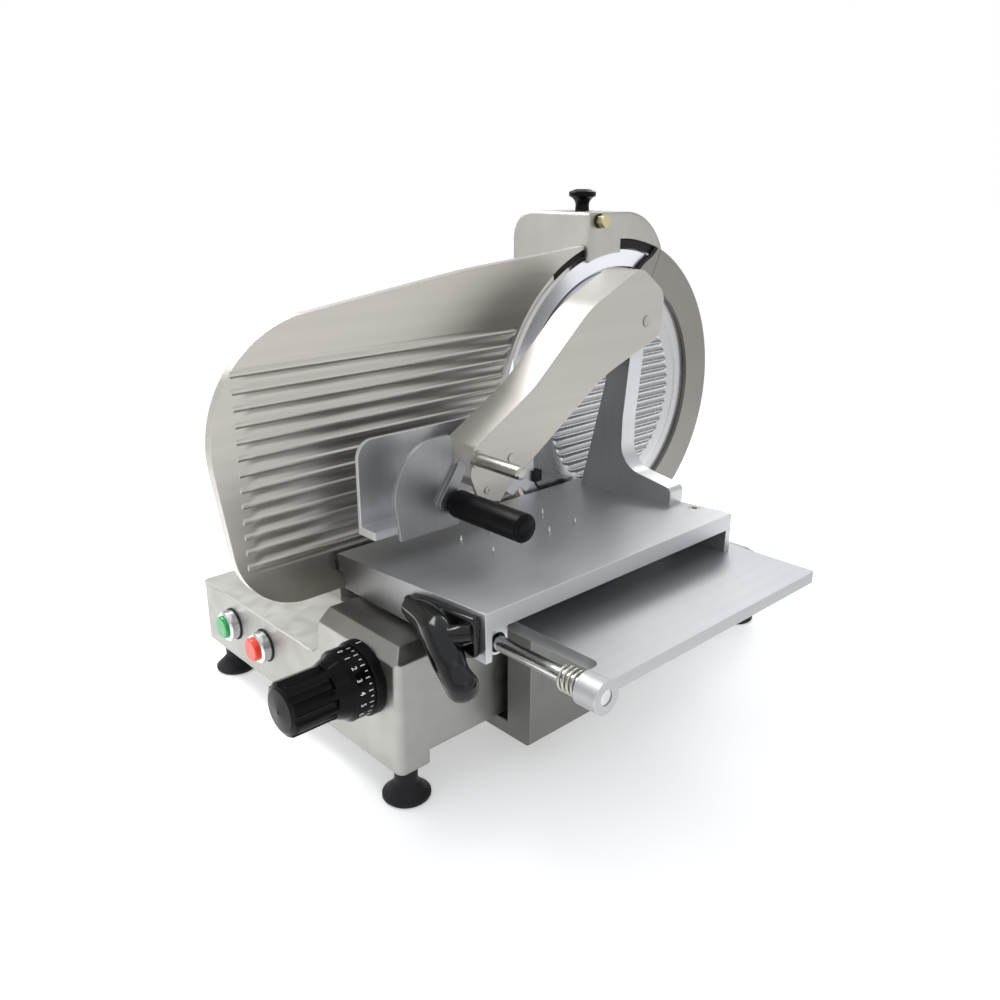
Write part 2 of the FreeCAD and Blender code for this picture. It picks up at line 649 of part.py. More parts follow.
def make_feet():
    """Four turned rubber feet and the studs that hold them."""
    feet = new_body("feet")
    bore = d.stud_radius + fit
    floor = d.pad_bottom - d.stud_below
    for spot in foot_spots:
        turned(feet, "Z", spot, [
            (0, 0), (0, d.foot_radius - 2), (2, d.foot_radius), (d.foot_flange / 2, d.foot_radius),
            (d.foot_flange, d.foot_radius - 5, 4), (d.foot_cone, d.foot_neck, 6),
            (d.pad_bottom, d.foot_neck), (d.pad_bottom, bore), (floor, bore), (floor, 0)])
    studs = new_body("foot_studs")
    pad(studs, "Z", floor, d.pad_bottom + d.stud_above, circles, foot_spots, d.stud_radius)


# ---------------------------------------------------------------- push buttons

def make_buttons():
    """Start and stop buttons, the bezels they slide in and the contacts behind them."""
    rear = d.base_front + d.bezel_depth
    bezels = new_body("button_bezels")
    bore = d.button_radius + d.button_gap
    for x in button_xs:
        turned(bezels, "Y", (x, d.button_z), [
            (d.base_front - d.bezel_proud, bore), (d.base_front - d.bezel_proud, d.bezel_neck),
            (d.base_front - d.bezel_proud + 2, d.bezel_radius), (d.base_front, d.bezel_radius),
            (d.base_front, d.bezel_neck), (rear, d.bezel_neck), (rear, bore)])
    for name, x, extra in (("start_button", d.start_x, 0), ("stop_button", d.stop_x, d.stop_extra)):
        button = new_body(name)
        tip = d.base_front - d.button_proud - extra
        seat = rear - d.button_travel - d.button_gap
        turned(button, "Y", (x, d.button_z), [
            (tip, 0), (tip, d.button_radius, 2), (seat, d.button_radius), (seat, 0)])
    contacts = new_body("contact_blocks")
    half = d.contact_side / 2
    for x in button_xs:
        pad(contacts, "Y", rear, rear + d.contact_depth, box_outline, x - half, x + half,
            d.button_z - half, d.button_z + half)


# ---------------------------------------------------------------- thickness knob and gauge plate

def make_knob(bushes):
    """The fluted knob, its dial and shaft, and the spiral cam that moves the plate."""
    centre = (d.knob_x, d.knob_z)
    collar_front = d.base_front - d.collar_width
    dial_rear = collar_front - d.knob_gap
    dial_front = dial_rear - d.dial_width
    shaft_front = dial_front - d.shaft_grip
    bore = d.shaft_radius + fit
    knob = new_body("thickness_knob")
    turned(knob, "Y", centre, [
        (knob_end, 0), (knob_end + 2, d.grip_radius - 6), (knob_end + 5, d.grip_radius, 3),
        (dial_front - d.knob_flare, d.grip_radius, d.knob_flare),
        (dial_front, d.dial_radius - 3), (dial_front, bore), (shaft_front, bore),
        (shaft_front, 0)])
    flute = new_sketch(knob, "Y", knob_end, centre)
    circle(flute, 0, d.grip_radius + d.flute_radius - d.flute_depth, d.flute_radius)
    cut = sized(knob, "PartDesign::Pocket", flute, "Y", knob_end, dial_front - d.knob_flare)
    repeat_round(knob, cut, d.flutes)
    dial = new_body("thickness_dial")
    turned(dial, "Y", centre, [
        (dial_front, bore), (dial_front, d.dial_radius - 3), (dial_front + 3, d.dial_radius),
        (dial_rear, d.dial_radius), (dial_rear, bore)])
    shaft = new_body("knob_shaft")
    pad(shaft, "Y", shaft_front, d.shaft_rear, circle, d.knob_x, d.knob_z, d.shaft_radius)
    turned(bushes, "Y", centre, [
        (collar_front, bore), (collar_front, d.collar_radius - 2),
        (collar_front + 2, d.collar_radius), (d.base_front, d.collar_radius),
        (d.base_front, d.bush_radius), (d.base_front + d.bush_length, d.bush_radius),
        (d.base_front + d.bush_length, bore)])
    cam = new_body("spiral_cam")
    steps = 20
    spiral = [(180 - d.cam_turn * (step / steps), d.cam_start + d.gauge_travel * (step / steps))
              for step in range(steps + 1)]
    spiral += [(180 - d.cam_turn, d.cam_hub), (180 - d.cam_turn - d.cam_relief, d.cam_hub)]
    corners = [(d.knob_x + reach * cosine(angle), d.knob_z + reach * sine(angle))
               for angle, reach in spiral]
    front, rear = d.cam_y - d.cam_width / 2, d.cam_y + d.cam_width / 2
    pad(cam, "Y", front, rear, outline, corners[::-1])
    pocket(cam, "Y", front, rear, circle, d.knob_x, d.knob_z, bore)


def make_gauge_plate():
    """The ribbed plate that sets the slice, hollowed round the blade."""
    plate = new_body("gauge_plate")
    top = blade_top + d.gauge_over_blade
    pad(plate, "X", -d.gauge_thick, 0, outline, [
        (d.gauge_low_y, d.gauge_bottom, d.gauge_low_round), (d.gauge_end_y, d.gauge_bottom),
        (d.gauge_end_y, top), (d.gauge_mid_y, top - d.gauge_mid_drop, 600),
        (d.gauge_high_y, top - d.gauge_high_drop, d.gauge_high_round)])
    half = d.gauge_rib_width / 2
    crest = d.gauge_rib_width / 6
    low = d.gauge_rib_low
    rib = pad(plate, "Y", d.gauge_rib_start, d.gauge_end_y, outline, [
        (0, low - half), (d.gauge_rib_height, low - crest), (d.gauge_rib_height, low + crest),
        (0, low + half)])
    repeat(plate, rib, "V_Axis", d.gauge_rib_pitch, d.gauge_ribs)
    inner = d.blade_radius + d.gauge_blade_gap
    pocket(plate, "X", 0, d.gauge_rib_height, circle, 0, blade_z,
           inner + d.gauge_rib_margin)
    pocket(plate, "X", -d.gauge_thick, 0, circle, 0, blade_z, inner)
    turned(plate, "X", (0, blade_z), [
        (0, inner - 1), (0, inner + d.plate_bevel), (-d.plate_bevel_depth, inner),
        (-d.plate_bevel_depth, inner - 1)], kind="Groove")
    pocket(plate, "X", 0, -d.channel_depth, sector, 0, blade_z, inner - 1,
           d.blade_radius + d.channel_rise, d.channel_start, d.channel_end)
    return plate


def make_gauge_slide(bushes):
    """The bracket behind the plate, its two bars, and the guide they slide in."""
    bracket = new_body("gauge_bracket")
    back = -d.gauge_thick
    web_left = back - d.bracket_depth
    seam = back - d.bracket_web
    low = d.bar_z - d.clamp_radius
    pad(bracket, "X", seam, back, box_outline, d.cam_y - d.bracket_side,
        d.rear_bar_y + d.bracket_side, low, d.bracket_top)
    half = d.bracket_web / 2
    for y in bar_ys:
        pad(bracket, "Y", y - half, y + half, outline, [
            (seam, d.bracket_top), (seam, d.bar_z), (web_left, d.bar_z),
            (web_left, d.bar_z + d.clamp_radius * 2)])
        pad(bracket, "X", web_left, back, circle, y, d.bar_z, d.clamp_radius)
        pocket(bracket, "X", web_left, back, circle, y, d.bar_z, d.bar_radius + fit)
    reach = d.knob_x - d.cam_start - d.follower_gap
    bars = new_body("gauge_slide_bars")
    for y, end in ((d.cam_y, reach), (d.rear_bar_y, back)):
        pad(bars, "X", d.bar_end, end, circle, y, d.bar_z, d.bar_radius)
    block = new_body("gauge_guide_block")
    pad(block, "X", d.guide_left, d.guide_right, outline, [
        (d.cam_y - d.guide_side, d.base_top), (d.rear_bar_y + d.guide_side, d.base_top),
        (d.rear_bar_y + d.guide_side, d.guide_top, 6), (d.cam_y - d.guide_side, d.guide_top, 6)])
    for y in bar_ys:
        pocket(block, "X", d.guide_left, d.guide_right, circle, y, d.bar_z, d.guide_bush + fit)
        for start, end in ((d.guide_left, d.guide_left + d.guide_bush_length),
                           (d.guide_right - d.guide_bush_length, d.guide_right)):
            pad(bushes, "X", start, end, ring, y, d.bar_z, d.bar_radius + fit, d.guide_bush)


gauge_screw_spots = [(y, z) for y in (d.cam_y + d.screw_inset, d.rear_bar_y - d.screw_inset)
                     for z in (d.bracket_top - d.screw_inset, d.bar_z + d.screw_inset * 4)]


def make_screws(name, axis, seat, reach, spots, head_side):
    """Cap screws of one size: heads on head_side of the seat, shanks to `reach`."""
    body = new_body(name)
    pad(body, axis, seat, seat + head_side * d.screw_head_depth, circles, spots, d.screw_head)
    pad(body, axis, seat, reach, circles, spots, d.screw_radius)
    return body


def join_gauge(plate):
    """Screws from the bracket into blind holes in the plate."""
    seam = -d.gauge_thick - d.bracket_web
    tip = -d.gauge_thick + d.bracket_web / 2
    make_screws("gauge_screws", "X", seam, tip, gauge_screw_spots, -1)
    pocket(plate, "X", -d.gauge_thick, tip, circles, gauge_screw_spots, d.screw_radius + fit)
    bracket = [node for node in nodes if node.Label == "gauge_bracket"][0]
    pocket(bracket, "X", seam, -d.gauge_thick, circles, gauge_screw_spots, d.screw_radius + fit)


# ---------------------------------------------------------------- blade tower

def make_tower():
    """The hollow casting behind the blade, with the blade's room cut in its face."""
    body = new_body("blade_tower")
    pad(body, "Y", d.tower_front, d.tower_rear, outline, [
        (d.tower_left, d.base_top), (d.tower_face, d.base_top), (d.tower_face, tower_top),
        (d.tower_left, tower_top, d.tower_side_round)])
    pocket(body, "X", d.tower_left, d.tower_face, corner_waste, d.tower_rear, tower_top,
           d.tower_back_round)
    room_front = d.tower_front + d.tower_wall
    room_rear = d.tower_rear - d.tower_wall
    roof = tower_top - d.tower_roof
    wheel_back = d.wheel_wall_x - d.tower_wall
    pocket(body, "X", d.tower_left + d.tower_wall, wheel_back, outline, [
        (room_front, d.base_top), (room_rear, d.base_top),
        (room_rear, roof, d.tower_back_round - d.tower_wall), (room_front, roof)])
    lip_back = d.tower_face - d.tower_lip
    pocket(body, "X", d.wheel_wall_x, lip_back, circle, 0, blade_z,
           d.blade_radius + d.blade_clearance)
    pocket(body, "X", lip_back, d.tower_face, circle, 0, blade_z, tower_cut)
    pocket(body, "X", lip_back, d.tower_face, sector, 0, blade_z, tower_cut - 1,
           d.blade_radius + d.window_rise, d.window_end, 90)
    pocket(body, "X", d.ring_seat, d.tower_face, sector, 0, blade_z, tower_cut - 2,
           ring_outer + 1, 50, d.ring_start)
    boss = d.bearing_outer + d.bearing_wall
    pad(body, "X", d.rear_bearing_x, wheel_back, circle, 0, blade_z, boss)
    pocket(body, "X", d.rear_bearing_x, d.wheel_wall_x, circle, 0, blade_z,
           d.bearing_outer - d.bearing_shoulder)
    pocket(body, "X", d.rear_bearing_x, d.rear_bearing_x + d.bearing_width, circle, 0, blade_z,
           d.bearing_outer + fit)
    pocket(body, "X", d.front_bearing_x, d.wheel_wall_x, circle, 0, blade_z,
           d.bearing_outer + fit)
    inner = d.tower_left + d.tower_wall
    pocket(body, "X", d.tower_left, inner, circle, 0, blade_z, d.tie_radius + fit)
    pocket(body, "X", d.tower_left, inner, circle, d.motor_y, d.motor_z, d.motor_shaft + 2)
    slot = d.carrier_side + d.carrier_room
    carrier_low = stone_z - d.carrier_height - d.stone_radius
    pocket(body, "X", wheel_back, -d.blade_thick - d.stone_gap, box_outline,
           d.sharpener_y - slot, d.sharpener_y + slot, carrier_low,
           stone_z + d.stone_radius + d.carrier_room)
    spot = (d.sharpener_x, d.sharpener_y)
    pocket(body, "Z", roof, tower_top, circle, *spot, d.sharpener_rod + fit)
    pocket(body, "Z", tower_top, tower_top - d.sharpener_travel - 1, circle, *spot,
           d.sharpener_stem + d.button_gap)
    pocket(body, "X", d.tower_face, d.tower_face - d.bolt_reach, circle, d.bolt_y, bolt_z,
           d.bolt_radius + fit)


def make_bearings():
    """Two plain bearings in the tower's boss."""
    body = new_body("spindle_bearings")
    for start in (d.rear_bearing_x, d.front_bearing_x):
        pad(body, "X", start, start + d.bearing_width, ring, 0, blade_z,
            d.spindle_radius + fit, d.bearing_outer)


def make_tower_bolt():
    """The hexagon bolt on the tower's face, on its spring washer."""
    washer_face = d.tower_face + d.washer_thick
    head_end = washer_face + d.bolt_head_length
    bolt = new_body("tower_bolt")
    corner = d.bolt_head / cosine(size(30))
    corners = [(d.bolt_y + corner * cosine(size(60 * k + 15)),
                bolt_z + corner * sine(size(60 * k + 15))) for k in range(6)]
    pad(bolt, "X", washer_face, head_end, outline, corners)
    pad(bolt, "X", washer_face, d.tower_face - d.bolt_reach, circle, d.bolt_y, bolt_z,
        d.bolt_radius)
    washer = new_body("bolt_washer")
    pad(washer, "X", d.tower_face, washer_face, ring, d.bolt_y, bolt_z, d.bolt_radius + fit,
        d.washer_radius)


def make_sharpener():
    """Mushroom knob, rod, carrier and stone: pressed down, the stone meets the blade's bevel."""
    spot = (d.sharpener_x, d.sharpener_y)
    top = tower_top + d.sharpener_height
    socket = tower_top + d.sharpener_height / 2
    knob = new_body("sharpener_knob")
    bore = d.sharpener_rod + fit
    turned(knob, "Z", spot, [
        (tower_top, bore), (tower_top, d.sharpener_stem), (top - 12, d.sharpener_stem - 1, 10),
        (top - 8, d.sharpener_head, 2), (top - 3, d.sharpener_head, 2),
        (top, d.sharpener_head / 2, 6), (top, 0), (socket, 0), (socket, bore)])
    low = stone_z + d.carrier_height / 2
    carrier = new_body("stone_carrier")
    stone_right = -d.blade_thick - d.stone_gap
    stone_left = stone_right - d.stone_thick
    pad(carrier, "X", d.carrier_left, stone_left, box_outline, d.sharpener_y - d.carrier_side,
        d.sharpener_y + d.carrier_side, low - d.carrier_height, low)
    pad(carrier, "Z", low, socket, circle, *spot, d.sharpener_rod)
    stone = new_body("grinding_stone")
    pad(stone, "X", stone_left, stone_right, circle, d.sharpener_y, stone_z, d.stone_radius)


# ---------------------------------------------------------------- blade, cover and guard

def screw_ring(body, start, end, radius):
    """Holes on the blade's screw circle."""
    sketch = new_sketch(body, "X", start, (0, blade_z))
    circle(sketch, 0, d.blade_screw_circle, radius)
    cut = sized(body, "PartDesign::Pocket", sketch, "X", start, end)
    repeat_round(body, cut, d.blade_screws)


def make_blade():
    """The dished blade on its spindle."""
    centre = (0, blade_z)
    floor = -d.blade_recess
    head_seat = floor - d.screw_head_depth
    blade = new_body("blade")
    turned(blade, "X", centre, [
        (-d.blade_thick, d.blade_bore), (floor, d.blade_bore),
        (floor, cover_radius + d.cover_room), (0, cover_radius + d.cover_room * 2),
        (0, d.blade_radius), (-d.blade_edge, d.blade_radius),
        (-d.blade_thick, d.blade_radius - d.bevel_width)])
    screw_ring(blade, floor, -d.blade_thick, d.screw_radius + fit)
    screw_ring(blade, floor, head_seat, d.screw_head + fit)
    spindle = new_body("blade_spindle")
    hub_back = -d.blade_thick - d.hub_thick
    spigot = floor - 1
    turned(spindle, "X", centre, [
        (d.spindle_rear, d.spindle_bore), (spigot, d.spindle_bore), (spigot, d.blade_bore - fit),
        (-d.blade_thick, d.blade_bore - fit), (-d.blade_thick, d.hub_radius),
        (hub_back, d.hub_radius), (hub_back, d.spindle_radius), (d.spindle_rear, d.spindle_radius)])
    screw_ring(spindle, -d.blade_thick, hub_back, d.screw_radius + fit)
    spots = [(d.blade_screw_circle * cosine(size(360 / 4 * k)),
              blade_z + d.blade_screw_circle * sine(size(360 / 4 * k))) for k in range(4)]
    make_screws("blade_screws", "X", head_seat, head_seat - d.screw_reach, spots, 1)


def make_pulley(name, centre, radius, shaft):
    """A flat belt's pulley with a lip each side."""
    body = new_body(name)
    end = d.pulley_x + d.pulley_width
    lip = radius + d.pulley_lip
    turned(body, "X", centre, [
        (d.pulley_x, shaft + fit), (d.pulley_x, lip), (d.pulley_x + d.pulley_lip, lip),
        (d.pulley_x + d.pulley_lip, radius), (end - d.pulley_lip, radius),
        (end - d.pulley_lip, lip), (end, lip), (end, shaft + fit)])


def make_drive():
    """Motor, its shaft and cover, both pulleys and the belt."""
    centre = (d.motor_y, d.motor_z)
    make_pulley("blade_pulley", (0, blade_z), d.pulley_radius, d.spindle_radius)
    make_pulley("motor_pulley", centre, d.motor_pulley, d.motor_shaft)
    motor = new_body("motor")
    pad(motor, "X", d.tower_left - d.motor_length, d.tower_left, circle, *centre, d.motor_radius)
    inside = d.tower_left - d.motor_shaft_inside
    pocket(motor, "X", inside - 1, d.tower_left, circle, *centre, d.motor_shaft + fit)
    shaft = new_body("motor_shaft")
    pad(shaft, "X", inside, d.pulley_x + d.pulley_width, circle, *centre, d.motor_shaft)
    belt = new_body("drive_belt")
    start = d.pulley_x + d.pulley_lip + d.belt_gap
    end = d.pulley_x + d.pulley_width - d.pulley_lip - d.belt_gap
    gap = d.belt_gap
    pad(belt, "X", start, end, loop, (0, blade_z), d.pulley_radius + gap + d.belt_thick,
        centre, d.motor_pulley + gap + d.belt_thick)
    pocket(belt, "X", start, end, loop, (0, blade_z), d.pulley_radius + gap, centre,
           d.motor_pulley + gap)
    cover = new_body("motor_cover")
    thick = d.motor_cover_wall
    for action, grow, left in ((pad, size(0), d.motor_cover_left),
                               (pocket, thick, d.motor_cover_left + thick)):
        front, rear = d.motor_cover_front + grow, d.motor_cover_rear - grow
        top, corner = d.motor_cover_top - grow, d.motor_cover_round - grow
        action(cover, "X", left, d.tower_left, outline, [
            (front, d.base_top), (rear, d.base_top), (rear, top, corner), (front, top, corner)])


def make_blade_cover():
    """The ribbed disc in the blade's dish, and the rod that pulls it home."""
    centre = (0, blade_z)
    back = -d.blade_recess + d.cover_gap
    face = back + d.cover_thick
    low = face - d.cover_drop
    cover = new_body("blade_cover")
    turned(cover, "X", centre, [
        (back, 0), (back, cover_radius), (low, cover_radius), (low, d.cover_step + 8),
        (face, d.cover_step), (face, 0)])
    half = d.cover_rib_width / 2
    crest = d.cover_rib_width / 6
    crown = face + d.cover_rib_height
    first = blade_z - d.cover_rib_pitch * (d.cover_ribs - 1) / 2
    rib = pad(cover, "Y", -d.cover_rib_radius, d.cover_rib_radius, outline, [
        (face, first - half), (crown, first - crest), (crown, first + crest), (face, first + half)])
    repeat(cover, rib, "V_Axis", d.cover_rib_pitch, d.cover_ribs)
    pocket(cover, "X", face, crown, ring, 0, blade_z, d.cover_rib_radius, d.blade_radius)
    knob = new_body("cover_tie_knob")
    end = d.tower_left - d.tie_knob_length
    turned(knob, "X", centre, [
        (end, 0), (end, d.tie_knob_radius, 3), (d.tower_left - 5, d.tie_knob_radius, 3),
        (d.tower_left, d.tie_knob_radius / 2), (d.tower_left, d.tie_radius), (back, d.tie_radius),
        (back, 0)])


def make_ring_guard():
    """The flanged ring that covers the blade's edge away from the product."""
    body = new_body("ring_guard")
    back = d.ring_front - d.ring_thick
    pad(body, "X", back, d.ring_front, sector, 0, blade_z, ring_inner, ring_outer,
        d.ring_end, d.ring_start)
    cover_rim = d.cover_gap + d.cover_thick - d.blade_recess - d.cover_drop
    pad(body, "X", back, cover_rim + d.ring_lip_gap, sector, 0, blade_z, ring_inner,
        ring_inner + d.ring_thick, d.ring_end, d.ring_start)
    pad(body, "X", back, d.ring_flange_rear, sector, 0, blade_z, ring_outer - d.ring_flange,
        ring_outer, d.ring_end, d.ring_flange_start)
    tab_top = blade_z + ring_outer * sine(d.ring_end) + d.ring_tab_lap
    tab_front = ring_outer * cosine(d.ring_end) - d.ring_tab_inset
    pad(body, "X", back, d.ring_flange_rear, box_outline, tab_front,
        tab_front + d.ring_tab_width, d.base_top, tab_top)


# ---------------------------------------------------------------- carriage

tray_bottom = d.tray_top - d.tray_thick
rod_spot = (d.slide_rod_y, d.slide_rod_z)


def make_carriage_arm():
    """The arm that hangs from the guide rod, passes under the base and carries the tray."""
    body = new_body("carriage_arm")
    left, right = d.rod_x - d.bearing_block_half, d.rod_x + d.bearing_block_half
    ledge_top = d.rail_bottom - d.pad_clearance - d.slide_pad_thick
    pad(body, "Y", d.arm_front, d.arm_rear, outline, [
        (d.rail_left, d.arm_bottom + d.arm_toe_bevel), (left, d.arm_bottom),
        (d.arm_right, d.arm_bottom, 6), (d.arm_right, tray_bottom), (d.arm_left, tray_bottom), (d.arm_left, d.toe_top),
        (right, d.toe_top), (right, d.bearing_block_top, 8), (left, d.bearing_block_top, 8),
        (left, ledge_top), (d.rail_left, ledge_top)])
    pocket(body, "Y", d.arm_front, d.arm_rear, circle, d.rod_x, d.rod_z, d.bearing_bush + fit)
    bushes = new_body("carriage_bushes")
    for start, end in ((d.arm_front, d.arm_front + d.bush_share),
                       (d.arm_rear - d.bush_share, d.arm_rear)):
        pad(bushes, "Y", start, end, ring, d.rod_x, d.rod_z, d.rod_radius + fit, d.bearing_bush)
    rod = new_body("carriage_guide_rod")
    pad(rod, "Y", inner_front - d.rod_seat, inner_rear + d.rod_seat, circle, d.rod_x, d.rod_z,
        d.rod_radius)
    rail = new_body("anti_tilt_rail")
    pad(rail, "Y", inner_front, inner_rear, box_outline, d.rail_left, d.rail_right,
        d.rail_bottom, d.rail_top)
    slide = new_body("slide_pad")
    middle = (d.arm_front + d.arm_rear) / 2
    pad(slide, "Z", ledge_top, ledge_top + d.slide_pad_thick, box_outline, d.rail_left,
        d.rail_right, middle - d.bush_share, middle + d.bush_share)


def make_tray():
    """The receiving tray, with the boss and ear that hold the table's slide rod."""
    body = new_body("carriage_tray")
    front = d.slide_rod_y
    ear = d.tray_left + d.left_lug
    pad(body, "Z", tray_bottom, d.tray_top, outline, [
        (d.tray_left, front), (ear, front), (ear, d.tray_front, 6), (d.boss_left, d.tray_front, 10),
        (d.boss_left, front), (d.tray_right, front), (d.tray_right, d.tray_rear, 3),
        (d.tray_left, d.tray_rear, 3)])
    for start, end in ((d.tray_left, ear), (d.boss_left, d.tray_right)):
        pad(body, "X", start, end, circle, *rod_spot, d.boss_radius)
    pocket(body, "X", d.tray_left, d.tray_right, circle, *rod_spot, d.slide_rod_radius + fit)
    rod = new_body("table_slide_rod")
    pad(rod, "X", d.tray_left, d.tray_right - 1, circle, *rod_spot, d.slide_rod_radius)
    spring = new_body("buffer_spring")
    length = d.boss_left - d.spring_left - d.spring_wire * 2
    start = d.spring_left + d.spring_wire
    sketch = new_sketch(spring, "Y", d.slide_rod_y, (0, d.slide_rod_z))
    circle(sketch, start, d.spring_radius, d.spring_wire)
    coil = spring.newObject("PartDesign::AdditiveHelix", "buffer_spring_helix")
    coil.Profile = sketch
    coil.ReferenceAxis = (sketch, ["H_Axis"])
    coil.Mode = "pitch-height-angle"
    bind(coil, "Height", length)
    bind(coil, "Pitch", length / d.spring_turns)


# ---------------------------------------------------------------- table and push handle

def table_top(x):
    """Height of the table's sloping top at x."""
    return d.table_high - d.table_slope * (d.table_right - x)


spike_xs = (d.spike_x, d.spike_x + d.spike_pitch_x)


def make_table():
    """The sloping product table, with its apron, rear leg and lug on the slide rod."""
    body = new_body("product_table")
    thick = d.table_thick
    left_top, right_top = table_top(d.table_left), table_top(d.table_right)
    pad(body, "Y", d.table_front, d.table_rear, outline, [
        (d.table_left, left_top - thick), (d.table_right, right_top - thick),
        (d.table_right, right_top), (d.table_left, left_top)])
    under = table_top(d.apron_left) - thick / 2
    leg_under = table_top(d.leg_left) - thick / 2
    pad(body, "Y", d.table_front, d.table_front + d.apron_thick, outline, [
        (d.apron_left, d.apron_bottom), (d.table_right, d.apron_bottom),
        (d.table_right, right_top - thick / 2), (d.apron_left, under)])
    pad(body, "Y", d.table_rear - d.leg_thick, d.table_rear, outline, [
        (d.leg_left, d.tray_top + d.slide_gap), (d.table_right, d.tray_top + d.slide_gap),
        (d.table_right, right_top - thick / 2), (d.leg_left, leg_under)])
    half = d.lug_width
    lug_top = table_top(d.table_lug_left) - thick / 2
    pad(body, "X", d.table_lug_left, d.table_lug_right, box_outline, d.slide_rod_y - half,
        d.slide_rod_y + half, d.slide_rod_z, lug_top)
    pad(body, "X", d.table_lug_left, d.table_lug_right, circle, *rod_spot, half)
    pocket(body, "X", d.table_lug_left, d.table_lug_right, circle, *rod_spot,
           d.table_bush + fit)
    for x in spike_xs:
        spots = [(x, d.spike_y + d.spike_pitch_y * k) for k in range(int(SIZES["spikes"]))]
        surface = table_top(x)
        pocket(body, "Z", surface + 2, surface - d.spike_seat, circles, spots,
               d.spike_radius + fit)
    spot = (d.screw_hole_x, d.screw_hole_y)
    seat = table_top(d.screw_hole_x) - d.table_screw_depth
    pocket(body, "Z", seat + thick, seat, circle, *spot, d.table_screw_head + fit)
    pocket(body, "Z", seat, seat - thick, circle, *spot, d.screw_radius + fit)
    bush = new_body("table_bush")
    pad(bush, "X", d.table_lug_left, d.table_lug_right, ring, *rod_spot,
        d.slide_rod_radius + fit, d.table_bush)
    screw = new_body("table_screw")
    pad(screw, "Z", seat, seat + d.table_screw_depth, circle, *spot, d.table_screw_head)
    pocket(screw, "Z", seat + d.table_screw_depth, seat + d.table_screw_depth / 2, circle, *spot,
           d.screw_radius)
    pad(screw, "Z", seat, seat - thick / 2, circle, *spot, d.screw_radius)


def make_spikes():
    """Pointed pins that hold the product on the table."""
    body = new_body("table_spikes")
    for x in spike_xs:
        low = table_top(x) - d.spike_seat
        top = table_top(x) + d.spike_height
        for k in range(int(SIZES["spikes"])):
            turned(body, "Z", (x, d.spike_y + d.spike_pitch_y * k), [
                (low, 0), (low, d.spike_radius), (top - d.spike_point, d.spike_radius),
                (top, d.spike_tip), (top, 0)])


def make_push_handle():
    """The moulded handle on the table's apron: a plate with a hanging pear-shaped grip."""
    body = new_body("push_handle")
    right = d.handle_left + d.handle_width
    back = d.table_front
    pad(body, "Y", back - d.handle_plate, back, outline, [
        (d.handle_left, d.handle_high - d.handle_shoulder, 6),
        (d.handle_left + d.handle_toe, d.handle_low - d.handle_toe_drop, 12),
        (right, d.handle_low, 8), (right, d.handle_high, 8),
        (d.handle_left + d.handle_shoulder, d.handle_high, 10)])
    bulb = d.grip_thick
    neck_x, neck_y = right + d.neck_out, d.table_front - d.neck_forward
    grip_z = d.handle_high - d.grip_drop
    sections = []
    for share, radius in ((0, d.neck_radius), (0.35, d.neck_radius), (0.72, bulb * 0.87),
                          (1, bulb)):
        sketch = new_sketch(body, "Z", d.handle_high - d.grip_drop * share)
        circle(sketch, neck_x + d.grip_out * share, neck_y - d.grip_forward * share, radius)
        sketch.Visibility = False
        sections.append(sketch)
    loft = body.newObject("PartDesign::AdditiveLoft", "push_handle_grip")
    loft.Profile = sections[0]
    loft.Sections = sections[1:]
    low = grip_z - bulb
    turned(body, "Z", (neck_x + d.grip_out, neck_y - d.grip_forward), [
        (low, 0), (low, bulb, bulb * 0.9), (grip_z, bulb), (grip_z, 0)])


# ---------------------------------------------------------------- column and arm

column_rear = d.column_front + d.column_depth
column_left = d.lever_left + d.lever_wall + d.lever_side_gap
column_right = d.lever_right - d.lever_wall - d.lever_side_gap
pivot = (d.pivot_y, d.pivot_z)


def make_column():
    """The curved post on the table, with the boss that the arm turns on."""
    body = new_body("arm_column")
    foot_rise = d.column_foot_rise
    pad(body, "Y", d.column_front, column_rear, outline, [
        (d.column_foot_left, table_top(d.column_foot_left)),
        (d.column_foot_right, table_top(d.column_foot_right)),
        (d.column_foot_right, table_top(d.column_foot_right) + d.column_foot_height, 7),
        (d.column_waist, table_top(d.column_waist) + d.column_foot_height + foot_rise,
         d.column_blend),
        (d.column_waist, d.column_bend_z, 60), (column_right, d.column_bend_z + 70, 60),
        (column_right, d.pivot_z), (column_left, d.pivot_z), (column_left, d.column_bend_z + 40, 60)])
    pad(body, "X", column_left, column_right, circle, *pivot, d.pivot_boss)
    pocket(body, "X", column_left, column_right, circle, *pivot, d.pivot_radius + fit)


def arm_side(sketch):
    """The arm seen from its side."""
    return outline(sketch, [
        (d.arm_nose_y, d.arm_nose_low, 8), (d.arm_nose_y + d.arm_nose_back, d.arm_nose_high, 10),
        (d.arm_knee_y, d.arm_knee_z, d.arm_bow), (d.arm_shoulder_y, d.arm_shoulder_z, d.arm_bow),
        (d.arm_head_y, d.arm_head_z, d.arm_round), (d.arm_back_y, d.arm_back_z, d.arm_round),
        (d.arm_heel_y, d.arm_heel_z, d.arm_round), (d.arm_belly_y, d.arm_belly_z, d.arm_belly_bow),
        (d.arm_elbow_y, d.arm_elbow_z), (d.arm_chin_y, d.arm_chin_z), (d.arm_lip_y, d.arm_lip_z)])


